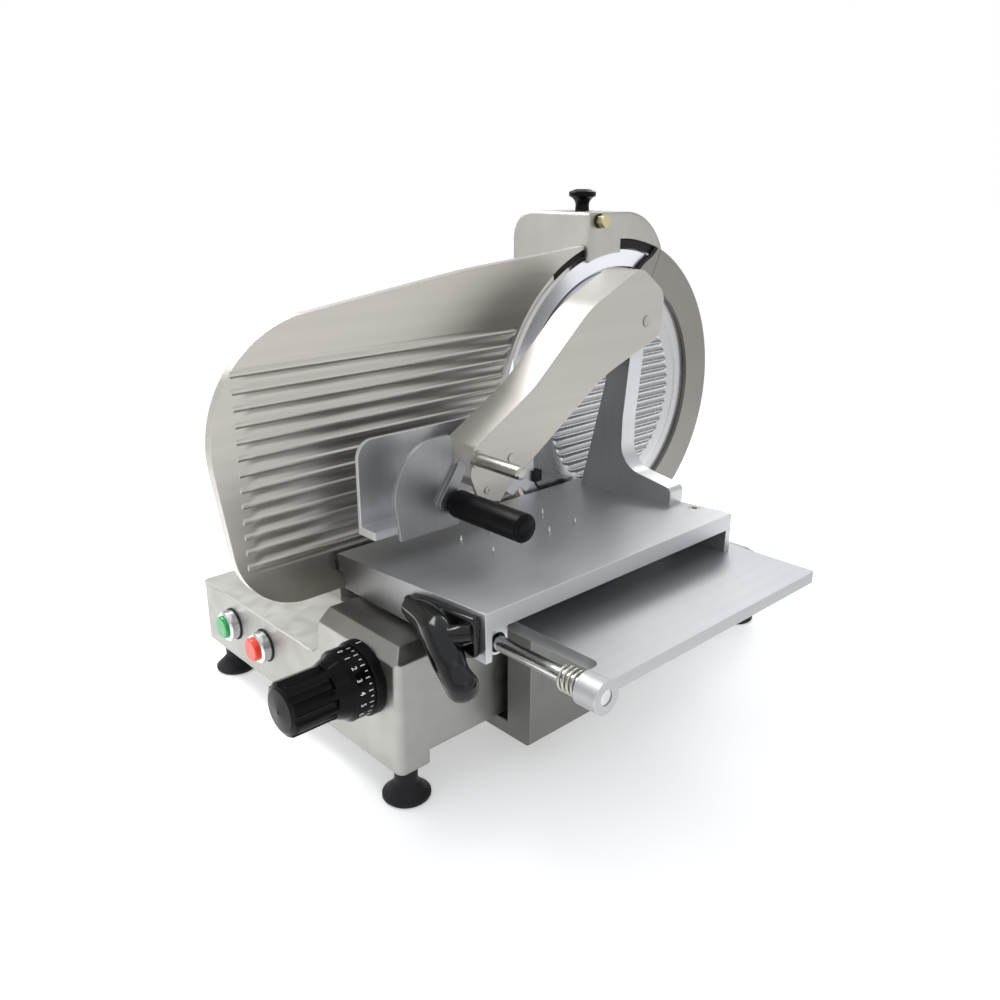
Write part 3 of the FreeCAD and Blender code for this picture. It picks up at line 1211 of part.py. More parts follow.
def arm_hollow(sketch):
    """The channel inside the arm, open below."""
    wall = d.lever_wall
    drop = wall * 1.25
    front = d.arm_nose_y + wall
    rear = d.arm_back_y + d.arm_hollow_past
    return outline(sketch, [
        (front, d.arm_open), (front, d.arm_nose_low + 3), (front + wall, d.arm_nose_high - drop, 8),
        (d.arm_knee_y + 1, d.arm_knee_z - drop, d.arm_bow),
        (d.arm_shoulder_y + 1, d.arm_shoulder_z - drop, d.arm_bow),
        (d.arm_head_y, d.arm_head_z - drop, d.arm_round), (d.arm_head_y + 27, d.arm_head_z - 18, 6),
        (rear, d.arm_back_z - 3), (rear, d.arm_open)])


def make_arm():
    """The pressed channel arm, open below, with its pivot pin, float pin and lift pin."""
    body = new_body("press_arm")
    pad(body, "X", d.lever_left, d.lever_right, arm_side)
    inner_left_x, inner_right_x = d.lever_left + d.lever_wall, d.lever_right - d.lever_wall
    pocket(body, "X", inner_left_x, inner_right_x, arm_hollow)
    pocket(body, "X", d.lever_left, d.lever_right, circle, *pivot, d.pivot_radius + fit)
    float_spot = (d.float_y, d.float_z)
    lift_spot = (d.lift_pin_y, d.lift_pin_z)
    pocket(body, "X", d.lever_left, d.lever_right, circle, *float_spot, d.float_radius + fit)
    pocket(body, "X", inner_right_x, d.lever_right, circle, *lift_spot, d.lift_pin_radius + fit)
    pins = new_body("arm_pins")
    pad(pins, "X", d.lever_left, d.lever_right + 1, circle, *pivot, d.pivot_radius)
    pad(pins, "X", d.plate_x, d.lever_right + 1, circle, *float_spot, d.float_radius)
    lift = new_body("arm_lift_pin")
    grip, flange = d.lift_grip_radius, d.lift_flange
    turned(lift, "X", lift_spot, [
        (inner_right_x, 0), (inner_right_x, d.lift_pin_radius),
        (d.lever_right, d.lift_pin_radius), (d.lever_right, grip + flange),
        (d.lever_right + flange, grip + flange), (d.lever_right + flange, grip),
        (d.lift_pin_end, grip, grip / 2), (d.lift_pin_end, 0)])


# ---------------------------------------------------------------- presser

def make_presser():
    """The toothed presser, its hand guard and handle."""
    body = new_body("presser_plate")
    plate_right = d.plate_x + d.plate_thick
    pad(body, "X", d.plate_x, plate_right, outline, [
        (d.plate_front, d.plate_low), (d.plate_rear, d.plate_low), (d.plate_rear, d.plate_low + 36, 12),
        (d.float_y, d.plate_top, 50), (d.plate_front, d.plate_top, 18)])
    pad(body, "Z", d.plate_low, d.plate_low + d.flange_thick, box_outline, d.plate_x,
        d.flange_right, d.plate_front, d.float_y - 50)
    pitch = (d.plate_rear - d.plate_front) / d.teeth
    tooth = pad(body, "X", d.plate_x, plate_right, outline, [
        (d.plate_front, d.plate_low), (d.plate_front + pitch / 2, d.plate_low - d.tooth_height),
        (d.plate_front + pitch, d.plate_low)])
    repeat(body, tooth, "H_Axis", pitch, d.teeth)
    float_spot = (d.float_y, d.float_z)
    lug_end = d.lever_left - d.lever_side_gap
    pad(body, "X", d.plate_x, lug_end, circle, *float_spot, d.lug_width)
    pocket(body, "X", d.plate_x, lug_end, circle, *float_spot, d.float_radius + fit)
    grip_spot = (d.grip_axis_y, d.grip_axis_z)
    pocket(body, "X", d.plate_x, plate_right, circle, *grip_spot, d.grip_rod + fit)
    rod = new_body("presser_handle_rod")
    pad(rod, "X", d.plate_x, d.grip_bar_end - 8, circle, *grip_spot, d.grip_rod)
    guard = new_body("hand_guard")
    face = d.guard_x + d.guard_thick
    pad(guard, "X", d.guard_x, face, outline, [
        (d.guard_rear, d.guard_low), (d.guard_rear - d.guard_lean, d.guard_high, d.guard_thick),
        (d.guard_crown_y, d.guard_high, d.guard_bow), (d.guard_front, d.guard_waist_z, d.guard_bow),
        (d.guard_tip_y, d.guard_low)])
    hub_end = face + d.guard_hub
    pad(guard, "X", face, hub_end, circle, *grip_spot, d.grip_bar_radius - 2)
    pad(guard, "X", face, hub_end, loop, (d.link_y, d.link_z), d.link_radius,
        (d.link_end_y, d.link_end_z), d.link_end_radius)
    pocket(guard, "X", d.guard_x, hub_end, circle, *grip_spot, d.grip_rod + fit)
    grip = new_body("presser_handle")
    turned(grip, "X", grip_spot, [
        (hub_end, d.grip_rod + fit), (hub_end, d.grip_bar_radius - 3),
        (hub_end + 4, d.grip_bar_radius, 3), (d.grip_bar_end, d.grip_bar_radius, 3),
        (d.grip_bar_end, 0), (d.grip_bar_end - 8, 0), (d.grip_bar_end - 8, d.grip_rod + fit)])


# ---------------------------------------------------------------- electrics

def make_electrics():
    """The control box under the base's top and the gland in its rear wall."""
    box = new_body("control_box")
    roof = d.base_top - d.base_wall
    pad(box, "Z", roof - d.box_height, roof, box_outline, d.box_left, d.box_left + d.box_width,
        d.box_front, d.box_front + d.box_depth)
    gland = new_body("cable_gland")
    tip = d.base_rear + d.gland_proud
    turned(gland, "Y", (d.gland_x, d.gland_z), [
        (inner_rear, d.gland_bore), (inner_rear, d.gland_neck), (d.base_rear, d.gland_neck),
        (d.base_rear, d.gland_radius), (d.base_rear + 6, d.gland_radius),
        (d.base_rear + 8, d.gland_neck + 2), (tip, d.gland_neck), (tip, d.gland_bore)])


make_base_casting()
make_bottom_cover()
make_feet()
make_buttons()
base_bushes = new_body("base_bushes")
make_knob(base_bushes)
gauge_plate = make_gauge_plate()
make_gauge_slide(base_bushes)
join_gauge(gauge_plate)
make_tower()
make_bearings()
make_tower_bolt()
make_sharpener()
make_blade()
make_drive()
make_blade_cover()
make_ring_guard()
make_carriage_arm()
make_tray()
make_table()
make_spikes()
make_push_handle()
make_column()
make_arm()
make_presser()
make_electrics()

doc.recompute()
faults = [f"{item.Label} {item.State}" for item in doc.Objects
          if "Invalid" in item.State or "Error" in item.State]
faults += [f"{node.Label} has no sound shape" for node in nodes
           if node.Shape.isNull() or not node.Shape.isValid()]
if faults:
    raise RuntimeError("; ".join(faults))
os.makedirs("parts", exist_ok=True)
for node in nodes:
    node.Shape.exportStep(f"parts/{node.Label}.step")
print(f"{len(nodes)} sub-parts written")
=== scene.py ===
"""Finishes for a motor-driven slicer: metals, plastics and printed marks, on a plain stage."""

import math

import bmesh
import bpy
from bpy.props import FloatProperty, FloatVectorProperty, IntProperty, PointerProperty
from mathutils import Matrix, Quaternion, Vector


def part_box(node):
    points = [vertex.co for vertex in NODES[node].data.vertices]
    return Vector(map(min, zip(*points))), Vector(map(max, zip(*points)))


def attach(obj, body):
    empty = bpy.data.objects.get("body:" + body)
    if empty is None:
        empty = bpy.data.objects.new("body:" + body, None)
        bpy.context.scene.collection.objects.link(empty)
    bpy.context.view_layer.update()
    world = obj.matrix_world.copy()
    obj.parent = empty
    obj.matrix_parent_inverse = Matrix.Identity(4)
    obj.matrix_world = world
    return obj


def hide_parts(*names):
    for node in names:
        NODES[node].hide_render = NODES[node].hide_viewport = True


bl_info = {
    "name": "Slicer finishes",
    "version": (1, 0, 0),
    "blender": (4, 5, 0),
    "location": "3D View > Sidebar > Slicer",
    "description": "Dresses the packed slicer with its metals, plastics and dial marks",
    "category": "Object",
}

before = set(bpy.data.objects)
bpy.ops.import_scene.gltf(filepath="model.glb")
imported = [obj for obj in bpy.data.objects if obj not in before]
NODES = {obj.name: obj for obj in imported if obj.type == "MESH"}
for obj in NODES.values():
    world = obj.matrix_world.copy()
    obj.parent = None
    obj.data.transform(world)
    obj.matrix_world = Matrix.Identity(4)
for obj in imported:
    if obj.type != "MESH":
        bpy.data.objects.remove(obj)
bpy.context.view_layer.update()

MM = 0.001

CREASE = math.radians(35)
BEVEL_SAMPLES = 4
# How much paler corners are painted: partly worn edges, partly a painted highlight along them.
WORN_AND_LIT_CASTING = 1.45
WORN_AND_LIT_SHEET = 1.35
WHITE = (1, 1, 1)
# Colours that multiply a brushed surface: the two ends of a cloudy veil, and the painted shade on
# the table's front face.
VEIL = ((0.94, 0.945, 0.955), (1.0, 0.995, 0.98))
APRON_SHADE = (0.19, 0.18, 0.17)

# Angles in degrees about the blade's axis, from +Y towards +Z.
GUARD_START = 65.8
GUARD_END = 67.6
GUARD_SWEEP = 9.2
SHADOW_ANGLE = 1.9
WINDOW = (68.4, 89.7)
SLOT = (107.2, 124.8)
# How far the guard's end curls, as a share of its sweep, and how deep the painted shade in the
# slots lies.
GUARD_CURL = 0.09
PAINTED_SHADE_DEPTH = 2.8 * MM

# The handle in mm, from push_handle's box: its plate as (x, z) corners from the box's left and top,
# its limbs as (right of the left side, forward of the back, down from the top, radius).
HANDLE_PLATE = ((0, -24), (40, -49), (66, -42), (99, -31), (99, 5), (26, -1), (5, -6))
HANDLE_LIMBS = (
    ((14, 7, 13, 9), (42, 11, 12, 13), (68, 19, 15, 15.5), (87, 26, 27, 14.5), (98, 28, 37, 13),
     (107, 28, 44, 14)),
    ((96, 7, 9, 8), (88, 14, 11, 9.5), (76, 19, 17, 12)))
TIP_TURNS = (0.25, 0.5, 0.75, 1.0, 1.25, 1.45, 1.55)

FLOOR_SIZE = 6.0
SENSOR_WIDTH = 36.0
LAMP_AIM = (0.0, 0.0, 0.25)
# Each lamp: its name, its place in metres, its size and its power.
LAMPS = (("key_lamp", (-1.05, -0.32, 1.42), 0.9, 26.0),
         ("fill_lamp", (1.5, -0.35, 0.95), 1.0, 1.2),
         ("rear_lamp", (-0.5, 1.3, 1.3), 0.5, 5.0))
# Each stop of the world's ramp: its height and its colour.
SKY = ((0.17, (1, 1, 1)), (0.27, (0.66, 0.66, 0.66)), (0.50, (0.58, 0.59, 0.61)),
       (0.62, (0.93, 0.965, 1)))


def middle(node):
    """The middle of a node's box."""
    low, high = (Vector(corner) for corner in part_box(node))
    return (low + high) / 2


def reach(node):
    """The extent of a node's box along each axis."""
    low, high = (Vector(corner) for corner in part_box(node))
    return high - low


# ---------------------------------------------------------------- sizes and colours

def colour(name, text, value):
    """A colour property."""
    return FloatVectorProperty(name=name, description=text, subtype="COLOR", size=3,
                               min=0.0, max=1.0, default=value)


def length(name, text, value):
    """A length property in metres."""
    return FloatProperty(name=name, description=text, subtype="DISTANCE", unit="LENGTH",
                         min=0.0, default=value)


class SlicerColours(bpy.types.PropertyGroup):
    """Colours of the slicer's finishes."""
    casting: colour("Casting", "Blasted and lacquered castings", (0.372, 0.366, 0.343))
    sheet: colour("Brushed plate", "Thickness plate, arm and ring guard", (0.57, 0.545, 0.505))
    table: colour("Brushed table", "Table, tray, column, presser, cover", (0.555, 0.565, 0.575))
    steel: colour("Ground steel", "Shafts, rods and pins", (0.60, 0.595, 0.58))
    plating: colour("Plating", "Plated springs and small screws", (0.50, 0.49, 0.44))
    zinc: colour("Yellow zinc", "The tower's bolt", (0.60, 0.54, 0.32))
    blade: colour("Blade", "Hard-chromed blade", (0.84, 0.855, 0.91))
    black: colour("Black plastic", "Polished mouldings", (0.003, 0.003, 0.0033))
    satin: colour("Satin black", "The presser's handle and small parts", (0.004, 0.004, 0.0045))
    rubber: colour("Rubber", "Feet", (0.009, 0.009, 0.010))
    start: colour("Start button", "Green button", (0.010, 0.34, 0.085))
    stop: colour("Stop button", "Red button", (0.84, 0.055, 0.028))
    print_white: colour("Print", "Dial figures", (0.86, 0.86, 0.86))
    bezel: colour("Bezels", "Plated rings of the buttons", (0.78, 0.78, 0.80))
    bronze: colour("Bronze", "Sintered bushes", (0.42, 0.27, 0.12))
    nylon: colour("Nylon", "The carriage's pad", (0.62, 0.61, 0.57))
    paint: colour("Motor paint", "The motor", (0.045, 0.052, 0.064))
    belt: colour("Belt", "The drive belt", (0.03, 0.03, 0.03))
    stone: colour("Stone", "The grinding stone", (0.30, 0.27, 0.23))


class SlicerMarks(bpy.types.PropertyGroup):
    """Sizes of the printed marks on the thickness dial."""
    figures: IntProperty(name="Figures", description="Numbered marks on the dial, from 0",
                         min=2, max=36, default=16)
    step: FloatProperty(name="Step", description="Angle from one figure to the next",
                        subtype="ANGLE", default=math.radians(20))
    height: length("Figure height", "Height of a printed figure", 5.2 * MM)
    long_mark: length("Long mark", "Length of the mark at a figure", 4.4 * MM)
    short_mark: length("Short mark", "Length of the mark between figures", 2.6 * MM)
    mark_width: length("Mark width", "Width of a mark", 0.9 * MM)
    proud: length("Print thickness", "How far the print stands off the dial", 0.12 * MM)


class SlicerRibs(bpy.types.PropertyGroup):
    """The pressed waves of the thickness plate and of the blade's cover."""
    plate_pitch: length("Plate pitch", "From one wave of the plate to the next", 14.8 * MM)
    plate_first: length("Plate's first", "Height of the plate's lowest wave", 209 * MM)
    plate_last: length("Plate's last", "Height of the plate's highest wave", 386.6 * MM)
    plate_margin: length("Plate margin", "Flat border round the blade", 16 * MM)
    cover_pitch: length("Cover pitch", "From one wave of the cover to the next", 11.4 * MM)
    cover_radius: length("Cover radius", "Reach of the cover's waves", 107 * MM)
    plate_depth: length("Plate depth", "Height of the plate's waves", 0.55 * MM)
    cover_depth: length("Cover depth", "Height of the cover's waves", 1.3 * MM)


class SlicerStage(bpy.types.PropertyGroup):
    """Where the camera stands and looks."""
    eye: FloatVectorProperty(name="Camera", description="Place of the camera", subtype="XYZ",
                             size=3, default=(0.67274, -0.68201, 0.5462))
    azimuth: FloatProperty(name="Azimuth", description="Camera's turn about the vertical",
                           subtype="ANGLE", default=math.radians(47.05))
    pitch: FloatProperty(name="Pitch", description="Camera's downward tilt", subtype="ANGLE",
                         default=math.radians(19.4))
    lens: FloatProperty(name="Lens", description="Focal length in millimetres on a 36 mm sensor",
                        default=33.16)


# ---------------------------------------------------------------- shader building

class Finish:
    """A procedural material: a Principled shader and the nodes that feed it."""

    def __init__(self, name, base, metallic, roughness):
        self.material = bpy.data.materials.new(name)
        self.material.use_nodes = True
        self.tree = self.material.node_tree
        self.shader = self.tree.nodes["Principled BSDF"]
        self.shader.inputs["Metallic"].default_value = metallic
        self.shader.inputs["Roughness"].default_value = roughness
        self.shader.inputs["Base Color"].default_value = (*base, 1)
        self.place = self.tree.nodes.new("ShaderNodeTexCoord").outputs["Object"]
        self.normal = None

    def add(self, kind, **links):
        """Add a node and set its inputs, each a value or another node's output."""
        node = self.tree.nodes.new(kind)
        self.wire(node, links)
        return node

    def wire(self, node, values):
        """Set a node's inputs, by name or number, each to a value or another node's output."""
        for key, value in values.items():
            if isinstance(value, bpy.types.NodeSocket):
                self.tree.links.new(value, node.inputs[key])
            else:
                node.inputs[key].default_value = value

    def stretch(self, scale):
        """Object coordinates scaled along each axis."""
        return self.add("ShaderNodeMapping", Vector=self.place, Scale=scale).outputs["Vector"]

    def noise(self, scale, detail=2.0, place=None):
        """A noise value over the object."""
        node = self.add("ShaderNodeTexNoise", Scale=scale, Detail=detail,
                        Vector=place or self.place)
        return node.outputs["Fac"]

    def spread(self, value, low, high, start=0.35, end=0.65):
        """A value mapped onto a range."""
        node = self.add("ShaderNodeMapRange")
        self.wire(node, {"Value": value, "From Min": start, "From Max": end, "To Min": low,
                         "To Max": high})
        return node.outputs["Result"]

    def mix(self, share, first, second, blend="MIX"):
        """Mix two colours by a share, each an RGBA value or another node's output."""
        node = self.add("ShaderNodeMix")
        node.data_type = "RGBA"
        node.blend_type = blend
        self.wire(node, {0: share, 6: first, 7: second})
        return node.outputs[2]

    def tint(self, value, low, high):
        """A colour that runs from low to high with a value."""
        return self.mix(value, (*low, 1), (*high, 1))

    def calc(self, operation, first, second=0.0):
        """One step of arithmetic on one or two values."""
        node = self.add("ShaderNodeMath")
        node.operation = operation
        self.wire(node, {0: first, 1: second})
        return node.outputs[0]

    def along(self, axis):
        """The coordinate along X, Y or Z."""
        return self.add("ShaderNodeSeparateXYZ", Vector=self.place).outputs["XYZ".index(axis)]

    def radius_about(self, centre, axis):
        """The distance from an axis through centre."""
        total = None
        for number, name in enumerate("XYZ"):
            if name != axis:
                gap = self.calc("SUBTRACT", self.along(name), centre[number])
                square = self.calc("MULTIPLY", gap, gap)
                total = square if total is None else self.calc("ADD", total, square)
        return self.calc("SQRT", total)

    def waves(self, pitch, first, fades):
        """Pressed waves across Z, kept where every fade (value, from, to) lets them be."""
        phase = self.calc("MULTIPLY", self.calc("SUBTRACT", self.along("Z"), first),
                          math.tau / pitch)
        wave = self.calc("COSINE", phase)
        for value, start, end in fades:
            wave = self.calc("MULTIPLY", wave, self.spread(value, 0.0, 1.0, start, end))
        return wave

    def soft_edges(self, radius):
        """Round the shading at sharp corners."""
        node = self.add("ShaderNodeBevel")
        node.samples = BEVEL_SAMPLES
        node.inputs["Radius"].default_value = radius
        self.normal = node.outputs["Normal"]

    def bump(self, value, strength, distance):
        """Raise the surface by a value."""
        node = self.add("ShaderNodeBump")
        node.inputs["Strength"].default_value = strength
        node.inputs["Distance"].default_value = distance
        self.tree.links.new(value, node.inputs["Height"])
        if self.normal is not None:
            self.tree.links.new(self.normal, node.inputs["Normal"])
        self.normal = node.outputs["Normal"]

    def edge_wear(self, radius):
        """How strongly a corner turns here, from 0 on a face to 1 on an edge: where corners are
        painted paler, partly as wear and partly as a painted highlight.
        """
        bevel = self.add("ShaderNodeBevel")
        bevel.samples = BEVEL_SAMPLES
        bevel.inputs["Radius"].default_value = radius
        face = self.add("ShaderNodeNewGeometry").outputs["True Normal"]
        dot = self.add("ShaderNodeVectorMath")
        dot.operation = "DOT_PRODUCT"
        self.wire(dot, {0: bevel.outputs["Normal"], 1: face})
        return self.spread(dot.outputs["Value"], 1.0, 0.0, start=0.86, end=0.99)

    def feed(self, socket, value):
        """Link a value to one of the shader's sockets."""
        self.tree.links.new(value, self.shader.inputs[socket])

    def done(self):
        """Link the normal and return the material."""
        if self.normal is not None:
            self.feed("Normal", self.normal)
        return self.material


def shade(base, factor):
    """A colour scaled towards black or white, kept in range."""
    return tuple(min(1.0, channel * factor) for channel in base)


def cast_finish(name, base, corner=2.5 * MM):
    """Satin blasted casting: fine pits, cloudy tone, and corners painted brighter, partly as rubbed
    wear and partly as a painted highlight.
    """
    roughness = 0.42
    finish = Finish(name, base, 1.0, roughness)
    cloud = finish.noise(9.0, detail=4.0)
    grain = finish.noise(1700.0, detail=2.0)
    tone = finish.tint(finish.spread(cloud, 0.0, 1.0), shade(base, 0.93), shade(base, 1.06))
    # Corners painted brighter: partly rubbed wear, partly a painted highlight.
    wear = finish.edge_wear(1.1 * MM)
    finish.feed("Base Color", finish.mix(wear, tone, (*shade(base, WORN_AND_LIT_CASTING), 1)))
    finish.feed("Roughness", finish.spread(finish.noise(60.0, detail=5.0), roughness - 0.05,
                                           roughness + 0.07))
    finish.soft_edges(corner)
    finish.bump(grain, 0.16, 0.05 * MM)
    return finish.done()


def brushed_finish(name, base, roughness, along="Y", waves=None, painted_shade=None):
    """Brushed aluminium: long fine strokes along one axis, with edges painted paler, partly as wear
    and partly as a painted highlight.
    """
    finish = Finish(name, base, 1.0, roughness)
    fine = {"X": (10, 1900, 1900), "Y": (1900, 10, 1900), "Z": (1900, 1900, 10)}[along]
    broad = tuple(value / 20 for value in fine)
    strokes = finish.noise(1.0, detail=3.0, place=finish.stretch(fine))
    bands = finish.noise(1.0, detail=2.0, place=finish.stretch(broad))
    cloud = finish.noise(4.0, detail=3.0)
    tone = finish.tint(finish.spread(bands, 0.0, 1.0), shade(base, 0.975), shade(base, 1.02))
    veil = finish.tint(finish.spread(cloud, 0.0, 1.0), *VEIL)
    tone = finish.mix(1.0, tone, veil, blend="MULTIPLY")
    # Edges painted paler: partly wear, partly a painted highlight.
    wear = finish.edge_wear(0.9 * MM)
    tone = finish.mix(wear, tone, (*shade(base, WORN_AND_LIT_SHEET), 1))
    # Painted shade: where the mask falls to 0 the surface is darkened to about a fifth of its
    # colour.
    if painted_shade is not None:
        tone = finish.mix(1.0, tone, finish.tint(painted_shade(finish), APRON_SHADE, WHITE), blend="MULTIPLY")
    finish.feed("Base Color", tone)
    finish.feed("Roughness", finish.spread(strokes, roughness - 0.03, roughness + 0.05))
    finish.soft_edges(0.9 * MM)
    if waves is not None:
        finish.bump(waves(finish), 1.0, bpy.context.scene.slicer_ribs.plate_depth)
    finish.bump(strokes, 0.05, 0.03 * MM)
    return finish.done()


def apron_film(finish):
    """Painted shade on the table's front face, which the lamps and floor leave bright: it darkens
    the face towards the blade's side.
    """
    low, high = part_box("product_table")
    behind = finish.spread(finish.along("Y"), 0.0, 1.0, low.y + 0.2 * MM, low.y + 0.8 * MM)
    aside = finish.spread(finish.along("X"), 0.0, 1.0, low.x + 30 * MM, high.x - 5 * MM)
    return finish.calc("MAXIMUM", behind, aside)


def plate_waves(finish):
    """The thickness plate's waves, clear of the blade and of the plate's rim."""
    ribs = bpy.context.scene.slicer_ribs
    blade = middle("blade")
    inner = reach("blade").z / 2 + ribs.plate_margin
    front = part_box("gauge_plate")[0].y + 36 * MM
    height, soft = finish.along("Z"), 4 * MM
    return finish.waves(ribs.plate_pitch, ribs.plate_first, [
        (height, ribs.plate_first - soft * 2, ribs.plate_first - soft),
        (height, ribs.plate_last + soft * 2, ribs.plate_last + soft),
        (finish.along("Y"), front - soft, front + soft),
        (finish.radius_about(blade, "X"), inner, inner + soft)])


def cover_waves(finish):
    """The waves across the middle of the blade's cover."""
    ribs = bpy.context.scene.slicer_ribs
    centre = middle("blade_cover")
    outer = ribs.cover_radius
    return finish.waves(ribs.cover_pitch, centre.z, [
        (finish.radius_about(centre, "X"), outer + 2 * MM, outer - 2 * MM)])


def turned_finish(name, base, centre, axis="X", roughness=0.22, ring=1.1 * MM, depth=0.08,
                  waves=None):
    """Metal turned or ground about an axis: fine rings round its centre."""
    finish = Finish(name, base, 1.0, roughness)
    line = finish.add("ShaderNodeCombineXYZ", X=finish.radius_about(centre, axis))
    rings = finish.noise(1.0 / ring, detail=3.0, place=line.outputs["Vector"])
    cloud = finish.noise(7.0, detail=3.0)
    finish.feed("Base Color", finish.tint(finish.spread(cloud, 0.0, 1.0), shade(base, 0.95),
                                          shade(base, 1.04)))
    finish.feed("Roughness", finish.spread(rings, roughness - 0.04, roughness + 0.07))
    finish.soft_edges(0.5 * MM)
    if waves is not None:
        finish.bump(waves(finish), 1.0, bpy.context.scene.slicer_ribs.cover_depth)
    finish.bump(rings, depth, 0.02 * MM)
    return finish.done()


def steel_finish(name, base, roughness):
    """Ground or plated steel: fine scratches and a faint cloud."""
    finish = Finish(name, base, 1.0, roughness)
    scratches = finish.noise(1.0, detail=4.0, place=finish.stretch((900, 2600, 2600)))
    cloud = finish.noise(40.0, detail=3.0)
    finish.feed("Base Color", finish.tint(finish.spread(cloud, 0.0, 1.0), shade(base, 0.88),
                                          shade(base, 1.06)))
    finish.feed("Roughness", finish.spread(scratches, roughness - 0.07, roughness + 0.08))
    finish.soft_edges(0.4 * MM)
    finish.bump(scratches, 0.1, 0.02 * MM)
    return finish.done()


def moulded_finish(name, base, roughness, grain=0.0, coat=0.4, gloss=0.1):
    """Moulded plastic: a faint flow in the gloss, and handling marks."""
    finish = Finish(name, base, 0.0, roughness)
    flow = finish.noise(22.0, detail=4.0)
    specks = finish.noise(420.0, detail=3.0)
    finish.feed("Base Color", finish.tint(finish.spread(flow, 0.0, 1.0), shade(base, 0.85),
                                          shade(base, 1.25)))
    finish.feed("Roughness", finish.spread(flow, roughness - 0.03, roughness + 0.09))
    finish.shader.inputs["Specular IOR Level"].default_value = gloss + coat
    finish.shader.inputs["Coat Weight"].default_value = coat
    finish.shader.inputs["Coat Roughness"].default_value = 0.08
    finish.soft_edges(0.6 * MM)
    finish.bump(specks, 0.04 + grain, 0.05 * MM)
    return finish.done()


def rubber_finish(name, base, roughness=0.6):
    """Matt rubber with a dusty bloom and a fine moulded skin."""
    finish = Finish(name, base, 0.0, roughness)
    bloom = finish.noise(30.0, detail=5.0)
    skin = finish.noise(900.0, detail=2.0)
    finish.shader.inputs["Specular IOR Level"].default_value = 0.25
    finish.feed("Base Color", finish.tint(finish.spread(bloom, 0.0, 1.0), base, shade(base, 1.8)))
    finish.feed("Roughness", finish.spread(bloom, roughness - 0.12, roughness + 0.1))
    finish.soft_edges(0.8 * MM)
    finish.bump(skin, 0.15, 0.08 * MM)
    return finish.done()


def stone_finish(name, base):
    """Bonded abrasive: packed bright and dark grit."""
    finish = Finish(name, base, 0.0, 0.85)
    grit = finish.add("ShaderNodeTexVoronoi", Vector=finish.place, Scale=1600.0)
    finish.feed("Base Color", finish.tint(finish.spread(grit.outputs["Distance"], 0.0, 1.0, 0.1,
                                                        0.7), shade(base, 0.6), shade(base, 1.4)))
    finish.bump(grit.outputs["Distance"], 0.6, 0.2 * MM)
    return finish.done()


def paint_print(name, base):
    """Screen-printed ink: flat, slightly broken at its rim."""
    finish = Finish(name, base, 0.0, 0.45)
    wear = finish.noise(1500.0, detail=3.0)
    finish.feed("Base Color", finish.tint(finish.spread(wear, 0.0, 1.0), shade(base, 0.86), base))
    finish.bump(wear, 0.1, 0.02 * MM)
    return finish.done()


def wear_on(node, material):
    """Give every slot of a CAD node a material."""
    obj = NODES[node]
    if not obj.material_slots:
        obj.data.materials.append(material)
    for entry in obj.material_slots:
        entry.material = material


# ---------------------------------------------------------------- mesh building

def finished(name, mesh, material, body):
    """Make a piece from a bmesh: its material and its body."""
    data = bpy.data.meshes.new(name)
    for face in mesh.faces:
        face.smooth = True
    for edge in mesh.edges:
        edge.smooth = edge.is_manifold and edge.calc_face_angle(math.pi) < CREASE
    mesh.to_mesh(data)
    mesh.free()
    data.materials.append(material)
    obj = bpy.data.objects.new(name, data)
    bpy.context.scene.collection.objects.link(obj)
    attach(obj, body)
    return obj


def lathe(profile, axis, centre, steps=72):
    """Turn a closed profile of (along the axis, radius) points about an axis through centre."""
    mesh = bmesh.new()
    spots = [mesh.verts.new((along, radius, 0)) for along, radius in profile]
    edges = [mesh.edges.new(pair) for pair in zip(spots, spots[1:] + spots[:1])]
    bmesh.ops.spin(mesh, geom=spots + edges, cent=(0, 0, 0), axis=(1, 0, 0), dvec=(0, 0, 0),
                   angle=math.tau, steps=steps)
    bmesh.ops.remove_doubles(mesh, verts=mesh.verts, dist=1e-6)
    bmesh.ops.recalc_face_normals(mesh, faces=mesh.faces)
    turn = {"X": Quaternion(), "Y": Quaternion((0, 0, 1), math.pi / 2),
            "Z": Quaternion((0, 1, 0), -math.pi / 2)}[axis]
    bmesh.ops.rotate(mesh, verts=mesh.verts, cent=(0, 0, 0), matrix=turn.to_matrix())
    bmesh.ops.translate(mesh, verts=mesh.verts, vec=centre)
    return mesh


def block(low, high, bevel):
    """A box between two corners, its edges rounded."""
    mesh = bmesh.new()
    bmesh.ops.create_cube(mesh, size=1.0)
    low, high = Vector(low), Vector(high)
    bmesh.ops.scale(mesh, verts=mesh.verts, vec=high - low)
    bmesh.ops.translate(mesh, verts=mesh.verts, vec=(low + high) / 2)
    bmesh.ops.bevel(mesh, geom=mesh.edges, offset=bevel, segments=3, profile=0.5,
                    affect="EDGES")
    return mesh


def rim_strip(axis, level, inner, outer, start, end):
    """A flat band round an axis along X; start and end give its angles at a radius."""
    mesh = bmesh.new()
    bmesh.ops.create_grid(mesh, x_segments=24, y_segments=12, size=0.5)
    for vert in mesh.verts:
        radius = inner + (outer - inner) * (vert.co.y + 0.5)
        angle = start(radius) + (end(radius) - start(radius)) * (vert.co.x + 0.5)
        vert.co = (level, axis.y + radius * math.cos(angle), axis.z + radius * math.sin(angle))
    bmesh.ops.reverse_faces(mesh, faces=mesh.faces)
    return mesh


def always(degrees):
    """The same angle at every radius."""
    return lambda radius: math.radians(degrees)


